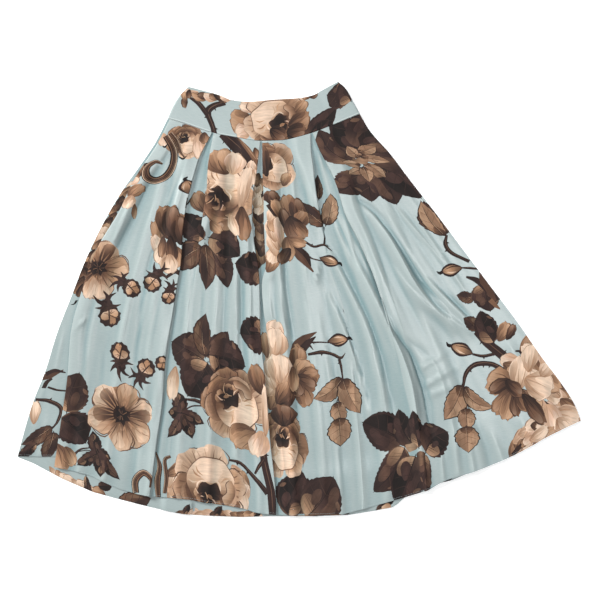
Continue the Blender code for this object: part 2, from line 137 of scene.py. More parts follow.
PLEAT_C_LEFT = ("left", (
    (23, 331, 26, 180), (24, 296, 22, 180), (28, 268, 16, 180),
    (31, 238, 10, 180), (35, 208, 4, 150), (41, 175, 2, 90),
    (48, 138, 2, 40), (62, 80, 2, 12), (90, 0, 2, 10),
    (110, -100, 2, 10), (120, -250, 2, 10), (128, -420, 2, 10),
))
PLEAT_C_RIGHT = ("right", (
    (27, 332, 26, 180), (38, 304, 24, 180), (52, 276, 22, 180),
    (76, 224, 18, 180), (91, 172, 15, 180), (119, 116, 10, 180),
    (144, 58, 5, 165), (162, 6, 2, 110), (176, -40, 2, 60),
    (192, -100, 2, 25), (212, -200, 2, 12), (226, -262, 2, 10),
    (236, -388, 2, 10),
))
FRONT_FOLDS = (SIDE_PLEAT, PLEAT_A_LEFT, PLEAT_A_RIGHT, PLEAT_B_LEFT,
               PLEAT_B_RIGHT, PLEAT_C_LEFT, PLEAT_C_RIGHT)
BACK_FOLDS = (
    ("left", ((-126, 323, 18, 180), (-152, 180, 15, 180),
              (-196, -60, 12, 180), (-262, -424, 10, 180))),
    ("right", ((-122, 323, 18, 180), (-140, 180, 15, 180),
               (-176, -60, 12, 180), (-238, -428, 10, 180))),
    ("left", ((-26, 319, 18, 180), (-22, 180, 15, 180),
              (-12, -60, 12, 180), (4, -433, 10, 180))),
    ("right", ((-22, 320, 18, 180), (-12, 180, 15, 180),
               (4, -60, 12, 180), (26, -433, 10, 180))),
    ("left", ((60, 344, 14, 180), (108, 220, 13, 180),
              (206, -60, 12, 180), (306, -360, 10, 180))),
    ("right", ((64, 345, 14, 180), (118, 220, 13, 180),
               (220, -60, 12, 180), (330, -350, 10, 180))),
)

# --------------------------------------------------------------- creases
# Each row is one crease: a line of (px, py, height in mm), then how far it
# reaches to its left and to its right, in mm.  A trough has a height below 0.
CREASES = (
    # right of the right-hand pleat: the long ridge down to the hem
    (((340, 200, 0), (347, 228, 2), (354, 258, 4), (366, 282, 5.5),
      (378, 306, 7), (392, 334, 8), (403, 358, 8.5), (412, 388, 8),
      (417, 420, 7), (421, 450, 5.5), (427, 491, 5)), 13, 7),
    # the twin thin ridges on its upper part
    (((346, 240, 0), (357, 262, 2.2), (371, 288, 2.4), (383, 312, 1.6),
      (392, 330, 0)), 5.4, 5.0),
    (((352, 236, 0), (364, 262, 2.2), (376, 288, 2.2), (388, 316, 1.8),
      (399, 340, 0)), 5.0, 5.4),
    # the deep trough on its right, then the one that opens lower down
    (((344, 205, 0), (356, 226, -2), (366, 250, -4), (376, 280, -5.5),
      (385, 308, -4), (392, 330, -1), (396, 344, 0)), 6, 9),
    (((384, 316, 0), (396, 334, -3), (409, 352, -5), (418, 374, -6),
      (425, 396, -6), (429, 420, -4.5), (434, 448, 0)), 5, 11),
    # the second ridge and the broad trough under it
    (((356, 200, 0), (373, 216, 3), (387, 234, 5), (400, 256, 6.5),
      (413, 280, 7), (426, 298, 5), (442, 316, 2.5), (458, 332, 0)), 18, 5),
    (((352, 198, 0), (369, 208, -3), (382, 220, -3), (390, 232, 0)), 5, 6),
    (((376, 216, 0), (390, 232, -3.5), (404, 254, -5), (416, 274, -5),
      (430, 290, -3.5), (446, 306, 0)), 5.5, 10),
    # the third, beside the buds
    (((424, 276, 0), (438, 290, 3), (452, 304, 4), (466, 318, 3.2),
      (482, 336, 0)), 15, 5),
    (((430, 280, 0), (446, 296, -2.6), (460, 309, -3), (476, 326, 0)), 4, 8),
    (((390, 262, 0), (408, 286, 1.5), (428, 306, 2), (452, 320, 1.6),
      (474, 334, 0)), 16, 5),
    # faint ones across the wide face
    (((390, 200, 0), (412, 226, 1.4), (436, 254, 1.5), (456, 282, 0)), 7, 5),
    (((408, 208, 0), (428, 236, 1.3), (450, 268, 1.4), (470, 300, 0)), 7, 5),
    (((396, 330, 0), (420, 350, -1.2), (444, 366, 0)), 14, 12),
    (((428, 352, 0), (440, 376, 1.8), (448, 404, 2.4), (454, 438, 2.6),
      (458, 474, 2)), 15, 9),
    # left of the long ridge
    (((330, 210, 0), (338, 232, 2.4), (346, 252, 2.4), (352, 270, 0)), 6, 4),
    (((334, 212, 0), (344, 236, -3), (352, 254, -3), (360, 274, 0)), 4, 5),
    (((326, 244, 0), (338, 268, 3.2), (352, 296, 4.2), (364, 322, 4),
      (374, 352, 3.6), (382, 392, 3.4), (390, 430, 2), (395, 452, 0)), 9, 6),
    (((334, 248, 0), (346, 272, -3), (360, 300, -4), (371, 326, -3.6),
      (381, 356, -3), (389, 392, -2.4), (397, 426, 0)), 5.5, 7),
    (((322, 282, 0), (334, 306, 2.2), (347, 336, 3), (358, 370, 2.8),
      (367, 404, 2.2), (374, 440, 0)), 10, 6),
    (((330, 290, 0), (342, 316, -1.8), (354, 348, -2.4), (364, 384, -2),
      (371, 416, 0)), 5, 6.5),
    # short pinched creases that run to the long ridge's trough
    (((419, 392, 0), (426, 385, 2.2), (437, 378, 2.2), (452, 370, 1),
      (462, 366, 0)), 4.5, 4.5),
    (((416, 372, 0), (424, 366, 1.6), (436, 359, 1.4), (450, 352, 0)), 4, 5),
    (((422, 400, 0), (433, 394, 1.8), (447, 389, 1.6), (464, 386, 0)), 4.5, 5),
    # ripples along the right of the hem
    (((438, 440, 0), (441, 458, 1.8), (443, 480, 2.2)), 8, 7),
    (((466, 430, 0), (470, 450, 1.8), (473, 471, 2.2)), 9, 8),
    (((488, 425, 0), (496, 444, 1.6), (502, 460, 2)), 9, 9),
    (((516, 410, 0), (526, 430, 1.8), (534, 446, 2)), 10, 9),
    (((540, 380, 0), (548, 402, 1.6), (558, 430, 2)), 9, 9),
    (((500, 330, 0), (520, 362, 2), (542, 392, 2), (556, 416, 0)), 12, 10),
    # under the right-hand pleat's opening
    (((318, 150, 1), (324, 175, 2), (333, 205, 2.5), (346, 238, 2.5),
      (356, 262, 0)), 5, 6),
    (((320, 258, 0), (316, 275, 1.8), (312, 292, 0)), 6, 6),
    # between the centre and the right-hand pleat
    (((290, 150, 0), (292, 180, 2.5), (296, 215, 3), (301, 250, 2.6),
      (306, 290, 2), (309, 330, 0)), 9, 9),
    (((303, 160, 0), (307, 190, -1.8), (312, 225, -2), (317, 258, 0)), 6, 6),
    (((306, 300, 0), (311, 340, 2.4), (315, 380, 2.8), (319, 420, 3),
      (322, 460, 3.2), (325, 512, 3)), 10, 10),
    (((324, 330, 0), (329, 370, 2), (333, 410, 2.8), (337, 455, 3),
      (341, 513, 3)), 8, 9),
    (((346, 340, 0), (352, 380, 2), (357, 420, 2.8), (361, 465, 3),
      (364, 508, 3)), 9, 9),
    (((374, 400, 0), (380, 436, 2.2), (384, 470, 2.6), (387, 500, 2.4)), 9, 9),
    (((399, 420, 0), (404, 450, 2.4), (408, 494, 2.4)), 8, 7),
    # the ribbon beside the centre pleat and the trough on its right
    (((274, 190, 0), (276, 215, 3), (279, 250, 4.5), (281, 285, 5),
      (284, 320, 5.5), (288, 356, 5.5), (290, 400, 5.5), (292, 450, 5.5),
      (296, 514, 5)), 17, 4.5),
    (((279, 200, 0), (283, 240, -2), (286, 280, -2.5), (290, 320, -3),
      (295, 365, -3), (297, 410, -3), (299, 460, -2.5), (302, 514, -2)),
     3.5, 9),
    (((266, 250, 0), (270, 300, 1.5), (276, 360, 2), (281, 430, 2),
      (285, 512, 2)), 5, 6),
    # between the left and the centre pleats
    (((222, 160, 0), (222, 200, 2.2), (219, 250, 2.6), (216, 300, 2.8),
      (214, 360, 3), (211, 420, 3), (208, 502, 2.8)), 11, 10),
    (((236, 150, 0), (237, 200, 2.4), (236, 250, 2.8), (236, 310, 3),
      (236, 370, 3), (236, 440, 3), (236, 507, 2.8)), 9, 10),
    (((246, 170, 0), (247, 220, 2), (249, 270, 3), (251, 330, 3.2),
      (254, 390, 3.4), (257, 450, 3.6), (261, 511, 3.2)), 8, 7),
    (((228, 170, 0), (228, 230, -1.8), (226, 290, -2), (224, 350, -2),
      (222, 410, 0)), 6, 6),
    (((196, 210, 0), (192, 260, 2), (188, 310, 2.4), (185, 370, 2.6),
      (181, 430, 2.6), (176, 498, 2.6)), 8, 9),
    (((204, 280, 0), (201, 330, -1.6), (198, 380, -2), (195, 440, -1.6),
      (193, 500, -1)), 5, 5),
    # left of the left pleat
    (((190, 146, 0), (184, 175, 2.2), (177, 205, 3), (168, 238, 3.3),
      (160, 268, 3.6), (155, 300, 4), (150, 340, 4), (147, 380, 3.6),
      (142, 430, 3.4), (138, 493, 3.4)), 9, 12),
    (((186, 160, 0), (176, 188, -3), (168, 212, -4), (158, 240, -3.6),
      (149, 268, -3), (143, 300, -3), (138, 340, -3), (134, 380, -2.6),
      (130, 420, 0)), 6, 7),
    (((176, 140, 0), (165, 172, 2), (155, 208, 2.8), (145, 240, 3),
      (136, 272, 3.2), (128, 306, 3.6), (121, 345, 3.4), (115, 390, 3),
      (109, 440, 3), (104, 479, 3)), 10, 9),
    (((160, 160, 0), (146, 190, -1.6), (135, 215, -2.4), (122, 246, -2),
      (112, 280, -1.6), (104, 320, 0)), 6, 8),
    (((150, 160, 0), (136, 192, 2.4), (121, 226, 2.8), (108, 262, 2.6),
      (98, 300, 2.6), (90, 345, 2.6), (84, 395, 2.4), (80, 472, 2.4)), 9, 9),
    (((112, 318, 0), (104, 360, -1.6), (98, 400, -1.8), (93, 450, 0)), 6, 6),
    (((90, 318, 0), (82, 322, 1.4), (74, 332, 0)), 3, 4),
    (((168, 310, 0), (163, 350, 2.8), (159, 390, 3.2), (154, 430, 3.2),
      (148, 494, 3)), 6, 5),
    # the underlay strip at the left side
    (((64, 330, 0), (58, 355, 2), (52, 385, 2.4), (46, 415, 2.4),
      (40, 455, 2)), 6, 6),
    (((60, 338, 0), (55, 368, -1.6), (49, 398, -2), (44, 428, -1.4)), 4, 4),
    (((46, 375, 0), (40, 398, 1.6), (34, 425, 1.8), (28, 455, 1.6)), 6, 6),
)


# =====================================================================
# Curves and the plan
# =====================================================================
def smooth(xs, ys, x):
    """Monotone cubic through the knots, held straight past both ends."""
    xs = np.asarray(xs, float)
    ys = np.asarray(ys, float)
    x = np.asarray(x, float)
    step = np.diff(xs)
    slope = np.diff(ys) / step
    tangent = np.empty_like(ys)
    tangent[0], tangent[-1] = slope[0], slope[-1]
    for k in range(1, len(xs) - 1):
        left, right = slope[k - 1], slope[k]
        if left * right <= 0:
            tangent[k] = 0.0
        else:
            w1 = 2 * step[k] + step[k - 1]
            w2 = step[k] + 2 * step[k - 1]
            tangent[k] = (w1 + w2) / (w1 / left + w2 / right)
    k = np.clip(np.searchsorted(xs, x) - 1, 0, len(xs) - 2)
    t = (x - xs[k]) / step[k]
    tc = np.clip(t, 0.0, 1.0)
    t2, t3 = tc * tc, tc * tc * tc
    value = ((2 * t3 - 3 * t2 + 1) * ys[k]
             + (t3 - 2 * t2 + tc) * step[k] * tangent[k]
             + (3 * t2 - 2 * t3) * ys[k + 1]
             + (t3 - t2) * step[k] * tangent[k + 1])
    value = value + np.where(t < 0, t * step[k] * tangent[k], 0.0)
    return value + np.where(t > 1, (t - 1) * step[k] * tangent[k + 1], 0.0)


class Curve:
    """A smooth plan curve through a table's points, by its length from 0 to 1."""

    def __init__(self, points, count=400):
        pts = np.asarray(points, float)
        span = np.r_[0, np.cumsum(np.hypot(*np.diff(pts, axis=0).T))]
        t = np.linspace(0, span[-1], count)
        line = np.c_[smooth(span, pts[:, 0], t), smooth(span, pts[:, 1], t)]
        run = np.r_[0, np.cumsum(np.hypot(*np.diff(line, axis=0).T))]
        self.length = run[-1]
        self.run, self.line = run / run[-1], line

    def at(self, t):
        t = np.asarray(t, float)
        inside = np.clip(t, 0, 1)
        out = np.stack([np.interp(inside, self.run, self.line[:, i])
                        for i in (0, 1)], -1)
        end = (self.line[-1] - self.line[-6]) / (self.run[-1] - self.run[-6])
        return out + np.maximum(t - 1, 0)[..., None] * end


class Patch:
    """The plan between four curves: a runs left to right, v top to bottom."""

    def __init__(self, top, bottom, left, right):
        self.top, self.bottom = Curve(top), Curve(bottom)
        self.left, self.right = Curve(left), Curve(right)

    def at(self, a, v):
        a, v = np.broadcast_arrays(np.asarray(a, float), np.asarray(v, float))
        w, h = self.top.at(a), self.bottom.at(a)
        w0, w1 = self.top.at(0.0), self.top.at(1.0)
        h0, h1 = self.bottom.at(0.0), self.bottom.at(1.0)
        a_, v_ = a[..., None], v[..., None]
        return ((1 - v_) * w + v_ * h
                + (1 - a_) * (self.left.at(v) - (1 - v_) * w0 - v_ * h0)
                + a_ * (self.right.at(v) - (1 - v_) * w1 - v_ * h1))

    def row(self, v, count=400):
        a = np.linspace(0, 1, count)
        p = self.at(a, v)
        s = np.r_[0, np.cumsum(np.hypot(*np.diff(p, axis=0).T))]
        return a, s

    def find(self, x, y):
        ga, gv = np.meshgrid(np.linspace(0, 1, 81), np.linspace(0, 1.06, 81))
        p = self.at(ga, gv)
        k = np.argmin((p[..., 0] - x) ** 2 + (p[..., 1] - y) ** 2)
        a, v = ga.flat[k], gv.flat[k]
        e = 1e-3
        for _ in range(12):
            here = self.at(a, v)
            da = (self.at(a + e, v) - self.at(a - e, v)) / (2 * e)
            dv = (self.at(a, v + e) - self.at(a, v - e)) / (2 * e)
            step = np.linalg.solve(np.stack([da, dv], 1),
                                   np.array([x, y]) - here)
            a, v = a + step[0], v + step[1]
        return a, v


BODY = Patch(WAIST_SEAM, HEM_FRONT, SIDE_LEFT, SIDE_RIGHT)
LENGTH = 0.5 * (BODY.left.length + BODY.right.length)
BAND_PLAN = Patch(BAND_TOP, WAIST_SEAM, tuple(reversed(BAND_LEFT)),
                  tuple(reversed(BAND_RIGHT)))


class Track:
    def __init__(self, rows):
        found = sorted((BODY.find(r[0], r[1])[::-1] + tuple(r[2:])
                        for r in rows), key=lambda r: r[0])
        self.table = np.array(found, float)

    def at(self, v, column):
        t = self.table
        v = np.clip(v, t[0, 0], t[-1, 0])
        return float(smooth(t[:, 0], t[:, column], v))


# =====================================================================
# Sections: folds, faces and the level the front lies on
# =====================================================================
def fold(edge, ret, turn, radius, inner, middle, outer):
    """A fold with its upper layer on the right, from the inner turn's start
    to the outer turn's end.  Heights are measured from the face."""
    th = math.radians(turn)
    r = max(radius, ARC_MIN / th)
    drop = 2 * r * (1 - math.cos(th)) + ret * math.sin(th)
    p = edge + r - r * math.sin(th)
    q = p - ret * math.cos(th)
    start = q - r * math.sin(th)
    zq = -drop + r * (1 - math.cos(th))
    zp = zq + ret * math.sin(th)
    pts = []
    for k in range(inner + 1):
        f = th * k / inner
        pts.append((start + r * math.sin(f), -drop + r * (1 - math.cos(f))))
    for k in range(1, middle):
        f = k / middle
        pts.append((q + (p - q) * f, zq + (zp - zq) * f))
    for k in range(outer + 1):
        f = th * (1 - k / outer)
        pts.append((p + r * (math.sin(th) - math.sin(f)),
                    zp + r * (math.cos(f) - math.cos(th))))
    return pts, drop


def ease(t):
    t = np.clip(t, 0, 1)
    return t * t * (3 - 2 * t)


def through(s, knots):
    """Eased steps between the knots, in order along s."""
    ks = np.maximum.accumulate([k[0] for k in knots])
    ks = ks + np.arange(len(ks)) * 1e-6
    kz = np.array([k[1] for k in knots])
    i = np.clip(np.searchsorted(ks, s) - 1, 0, len(ks) - 2)
    t = ease((s - ks[i]) / (ks[i + 1] - ks[i]))
    return kz[i] + (kz[i + 1] - kz[i]) * t


class Section:
    def __init__(self, folds):
        self.tracks = [(side, Track(rows)) for side, rows in folds]

    def row(self, v, radius, counts):
        a, s = BODY.row(v)
        out = []
        for side, track in self.tracks:
            edge = float(np.interp(track.at(v, 1), a, s))
            ret, turn = track.at(v, 2), track.at(v, 3)
            pts, drop = fold(edge, ret, turn, radius, *counts)
            if side == "left":
                pts = [(2 * edge - ps, pz) for ps, pz in reversed(pts)]
            out.append((side, edge, ret, drop, pts))
        return a, s, out


FRONT = Section(FRONT_FOLDS)
BACK = Section(BACK_FOLDS)


def reach(ret):
    return ret + 2 * BACK_R + CLOTH / 2


def back_stack(v, s, keep, ramp):
    _, _, folds = BACK.row(min(v, 1.0), BACK_R, (2, 1, 2))
    height = np.zeros_like(s)
    for (_, el, rl, dl, _), (_, er, rr, dr, _) in zip(folds[::2], folds[1::2]):
        lo, hi = el - reach(rl) - keep, er + reach(rr) + keep
        edge = np.minimum((s - lo) / ramp + 1, (hi - s) / ramp + 1)
        height = np.maximum(height, max(dl, dr) * ease(edge))
    return height


def back_end(a):
    """The v at which the back's hem line crosses each column a."""
    xs, ys = np.array(HEM_BACK, float).T
    lo, hi = np.full_like(a, 0.9), np.full_like(a, 1.12)
    for _ in range(30):
        mid = 0.5 * (lo + hi)
        p = BODY.at(a, mid)
        above = p[:, 1] > np.interp(p[:, 0], xs, ys)
        lo, hi = np.where(above, mid, lo), np.where(above, hi, mid)
    return 0.5 * (lo + hi)


def front_face(s, length, folds):
    _, e, ret, drop, _ = folds[0]
    knots = [(0.0, drop), (e + ret + 3, drop), (e + ret + 22, SAG)]
    for (_, el, rl, dl, _), (_, er, rr, dr, _) in zip(folds[1::2], folds[2::2]):
        knots += [(el - rl - 22, SAG), (el - rl - 3, dl), (el, dl),
                  (er, dr), (er + rr + 3, dr), (er + rr + 22, SAG)]
    knots += [(length - 24, SAG), (length, 0.0)]
    return through(s, knots)


def front_base(v, s, a, length):
    base = 1.5 * CLOTH + GAP + back_stack(v, s, 20, 26)
    down = (v - back_end(a)) * LENGTH + HEM_UP
    base = base + (CLOTH + GAP) * ease((down + 60) / 40)
    near = ease((s - (length - ZIP_INSET - ZIP_WIDTH - 40)) / 30)
    along = ease((ZIP_LENGTH + 70 - v * LENGTH) / 50)
    along = along + 0.9 * ease((30 - v * LENGTH) / 20)
    return base + (CLOTH + GAP) * near * along


class Crease:
    """One crease of the table, sampled finely along its line."""

    def __init__(self, row):
        line, self.left, self.right = row
        pts = np.array([at(px, py) for px, py, _ in line])
        run = np.r_[0, np.cumsum(np.hypot(*np.diff(pts, axis=0).T))]
        n = max(12, int(run[-1] / 12))
        t = np.linspace(0, run[-1], n)
        self.line = np.c_[smooth(run, pts[:, 0], t), smooth(run, pts[:, 1], t)]
        self.height = smooth(run, [h for _, _, h in line], t)

    def lift(self, x, y):
        """Height at plan points: to the left of the line, looking down it,
        is the side towards +X for a line that runs down."""
        out = np.zeros(x.shape)
        reach_ = 3.2 * max(self.left, self.right)
        lo, hi = self.line.min(0) - reach_, self.line.max(0) + reach_
        near = (x > lo[0]) & (x < hi[0]) & (y > lo[1]) & (y < hi[1])
        if not near.any():
            return out
        px, py = x[near], y[near]
        best = np.full(px.shape, 1e9)
        side = np.zeros(px.shape)
        tall = np.zeros(px.shape)
        for (x0, y0), (x1, y1), h0, h1 in zip(self.line[:-1], self.line[1:],
                                              self.height[:-1], self.height[1:]):
            dx, dy = x1 - x0, y1 - y0
            n2 = dx * dx + dy * dy
            t = np.clip(((px - x0) * dx + (py - y0) * dy) / n2, 0, 1)
            ex, ey = px - x0 - t * dx, py - y0 - t * dy
            d = np.hypot(ex, ey)
            m = d < best
            best = np.where(m, d, best)
            side = np.where(m, ex * dy - ey * dx, side)
            tall = np.where(m, h0 + (h1 - h0) * t, tall)
        width = np.where(side < 0, self.right, self.left)
        out[near] = tall * (0.60 / np.cosh(1.6 * best / width)
                            + 0.40 * np.exp(-2.4 * best / width))
        return out


def creased(x, y, rows=CREASES):
    height = np.zeros(x.shape)
    for row in rows:
        height += Crease(row).lift(x, y)
    return DEPTH * height


def streaks(a, v, seed=3):
    """The fine slack of the satin: shallow ripples that fan with the flare,
    uneven in height and spacing and fading in and out down the panel."""
    rng = random.Random(seed)
    out = np.zeros(np.broadcast(a, v).shape)
    for k in range(16):
        turns = rng.uniform(16, 58)
        drift = rng.uniform(-0.9, 0.9)
        phase = rng.uniform(0, 2 * math.pi)
        sway = rng.uniform(0.5, 1.8)
        p2, p3 = rng.uniform(0, 6.3), rng.uniform(0, 6.3)
        fade = np.clip(0.5 + np.sin(2 * math.pi * (sway * v + 1.3 * a) + p2), 0, 1)
        wave = np.sin(2 * math.pi * (turns * a + drift * v)
                      + phase + 0.9 * np.sin(5 * v + p3))
        out += fade * wave * (22 / turns) ** 0.9
    return SLACK * out * ease(v / 0.22)


# =====================================================================
# Cloth: a fine grid of the middle surface, and its flat cut
# =====================================================================
class Cloth:
    """points[j, i] are in millimetres; u[j, i] is the developed distance along
    a row from the middle; length is the cut's length down the rows, and
    radius the cut's fan radius at the top, or None for a straight strip."""

    def __init__(self, v, points, u, length, radius, shown):
        self.v, self.points, self.u = v, points, u
        self.length, self.radius, self.shown = length, radius, shown
        di = np.gradient(points, axis=1)
        dj = np.gradient(points, axis=0)
        n = np.cross(dj, di)
        self.normals = n / np.maximum(np.linalg.norm(n, axis=2), 1e-12)[..., None]

    def flat(self, v, u):
        """Flat-cut coordinates of a row fraction and a distance along it."""
        if self.radius is None:
            return np.stack([u, -v * self.length], -1)
        rho = self.radius + v * self.length
        th = u / rho
        return np.stack([rho * np.sin(th), self.radius - rho * np.cos(th)], -1)

    def grid_flat(self):
        return self.flat(self.v[:, None] * np.ones_like(self.u), self.u)

    def index(self, q):
        """Row and column positions of flat-cut points."""
        if self.radius is None:
            v, u = -q[:, 1] / self.length, q[:, 0]
        else:
            y = self.radius - q[:, 1]
            rho = np.hypot(q[:, 0], y)
            v = (rho - self.radius) / self.length
            u = np.arctan2(q[:, 0], y) * rho
        rows, cols = self.u.shape
        j = np.clip(np.searchsorted(self.v, v) - 1, 0, rows - 2)
        f = np.clip((v - self.v[j]) / (self.v[j + 1] - self.v[j]), 0, 1)
        c = np.empty(len(q))
        for k in range(0, len(q), 8000):
            sl = slice(k, k + 8000)
            line = (self.u[j[sl]] * (1 - f[sl])[:, None]
                    + self.u[j[sl] + 1] * f[sl][:, None])
            i = np.clip((line < u[sl][:, None]).sum(1) - 1, 0, cols - 2)
            r = np.arange(len(i))
            g = (u[sl] - line[r, i]) / np.maximum(line[r, i + 1] - line[r, i], 1e-9)
            c[sl] = i + np.clip(g, 0, 1)
        return j + f, c

    def sample(self, field, j, c):
        j0 = np.clip(j.astype(int), 0, self.u.shape[0] - 2)
        c0 = np.clip(c.astype(int), 0, self.u.shape[1] - 2)
        f, g = (j - j0)[:, None], (c - c0)[:, None]
        return ((field[j0, c0] * (1 - g) + field[j0, c0 + 1] * g) * (1 - f)
                + (field[j0 + 1, c0] * (1 - g) + field[j0 + 1, c0 + 1] * g) * f)

    def anchor(self, px, py):
        """Flat-cut point and turn of the shown spot nearest a plan point."""
        x, y = at(px, py)
        d = (self.points[..., 0] - x) ** 2 + (self.points[..., 1] - y) ** 2
        d = np.where(self.shown, d, 1e12)
        j, i = np.unravel_index(np.argmin(d), d.shape)
        j0, j1 = max(j - 3, 0), min(j + 3, d.shape[0] - 1)
        plan = self.points[j1, i] - self.points[j0, i]
        flat = self.flat(self.v[[j0, j, j1]], self.u[[j0, j, j1], i])
        cut = flat[2] - flat[0]
        turn = math.atan2(cut[1], cut[0]) - math.atan2(plan[1], plan[0])
        # the rest of the way from the grid point to the plan point
        ex, ey = x - self.points[j, i, 0], y - self.points[j, i, 1]
        cs, sn = math.cos(turn), math.sin(turn)
        extra = np.array([ex * cs - ey * sn, ex * sn + ey * cs])
        if np.hypot(ex, ey) > 60:
            extra *= 60 / np.hypot(ex, ey)
        return flat[1] + extra, turn


def hollows(cloth):
    """How far the shown cloth stands over (+) or under (-) the cloth beside
    it along its row, from a close look and a broad one, between -1 and 1."""
    z = cloth.points[..., 2]
    out = np.zeros_like(z)
    for j in range(z.shape[0]):
        i = np.nonzero(cloth.shown[j])[0]
        plan = cloth.points[j, i, :2]
        s = np.r_[0, np.cumsum(np.hypot(*np.diff(plan, axis=0).T))]
        t = np.arange(0.0, s[-1])
        h = np.interp(t, s, z[j, i])
        total = 0.0
        for reach_, share, full in ((5, 0.55, 0.7), (16, 0.45, 2.2)):
            k = np.arange(-3 * reach_, 3 * reach_ + 1)
            bell = np.exp(-0.5 * (k / reach_) ** 2)
            mean = np.convolve(np.pad(h, 3 * reach_, mode="edge"), bell / bell.sum(),
                               "valid")
            total = total + share * np.tanh((h - mean) / full)
        out[j, i] = np.interp(s, t, total)
    soft = out.copy()
    soft[1:-1] = 0.25 * out[:-2] + 0.5 * out[1:-1] + 0.25 * out[2:]
    return soft


def crease_shade_and_crest_highlight(level):
    """Colour factors for those heights: painted shade, darker and fuller in colour, down in the
    creases, and a painted highlight, paler, along their crests."""
    down, up = np.clip(-level, 0, 1)[..., None], np.clip(level, 0, 1)[..., None]
    return 1.0 - down * np.array([0.45, 0.29, 0.25]) + up * np.array([0.19, 0.17, 0.16])


def developed(s, z):
    return np.r_[0, np.cumsum(np.hypot(np.diff(s), np.diff(z)))]


def span(start, end, count):
    return [start + (end - start) * k / count for k in range(1, count)]


def row_steps(count, first):
    t = np.linspace(0, 1, count + 1)
    v = t - 0.12 * np.sin(math.pi * t) * (1 - t)
    v[0] = first
    return v


def fold_radius(v):
    return FOLD_R_TOP + (FOLD_R - FOLD_R_TOP) * float(ease(v / 0.10))


# Broad lifts under groups of creases: a line of (px, py, height), then reach
MOUNDS = (
    (((352, 214, 0), (376, 262, 3.0), (396, 312, 4.2), (412, 368, 4.2),
      (420, 420, 3.2), (428, 470, 2.2)), 26, 26),
    (((384, 216, 0), (410, 256, 3.2), (440, 300, 3.0), (470, 344, 0)), 24, 24),
    (((184, 160, 0), (168, 206, 2.6), (152, 262, 2.8), (140, 330, 2.4),
      (130, 400, 2.0), (122, 470, 1.6)), 30, 30),
    (((284, 220, 0), (288, 300, 2.0), (294, 380, 2.4), (300, 500, 2.0)), 20, 20),
    (((352, 250, 0), (362, 300, 2.0), (376, 360, 2.4), (386, 430, 2.0),
      (392, 490, 1.4)), 18, 22),
)


def front_room(s, length, folds):
    """How far a face can sink between the pleats before it meets the back."""
    _, e, ret, _, _ = folds[0]
    knots = [(0.0, 0.0), (e + ret + 3, 0.0), (e + ret + 22, 1.0)]
    for (_, el, rl, _, _), (_, er, rr, _, _) in zip(folds[1::2], folds[2::2]):
        knots += [(el - rl - 22, 1.0), (el - rl - 3, 0.0), (el, 0.0),
                  (er, 0.0), (er + rr + 3, 0.0), (er + rr + 22, 1.0)]
    knots += [(length - 24, 1.0), (length, 0.0)]
    return (SAG - 0.15) * through(s, knots)


def floored(height, lowest, soft=0.3):
    """Heights that level out softly at the lowest they may be."""
    return lowest + soft * np.logaddexp(0.0, (height - lowest) / soft) - 0.2


# corners, in the frame, of the parts of the faces whose creases are finest
CLOSE_SPOTS = ((338, 196, 440, 350), (396, 350, 470, 412), (440, 270, 486, 350))
FACES = (26, 26, 20, 84)
UNDERLAYS = (5, 4, 10)
FINE = 2


def lies_open(fold_row):
    """A fold whose layers no longer lie over each other."""
    ps = [p for p, _ in fold_row[4]]
    return float(np.max(np.maximum.accumulate(ps) - ps)) < 1.2


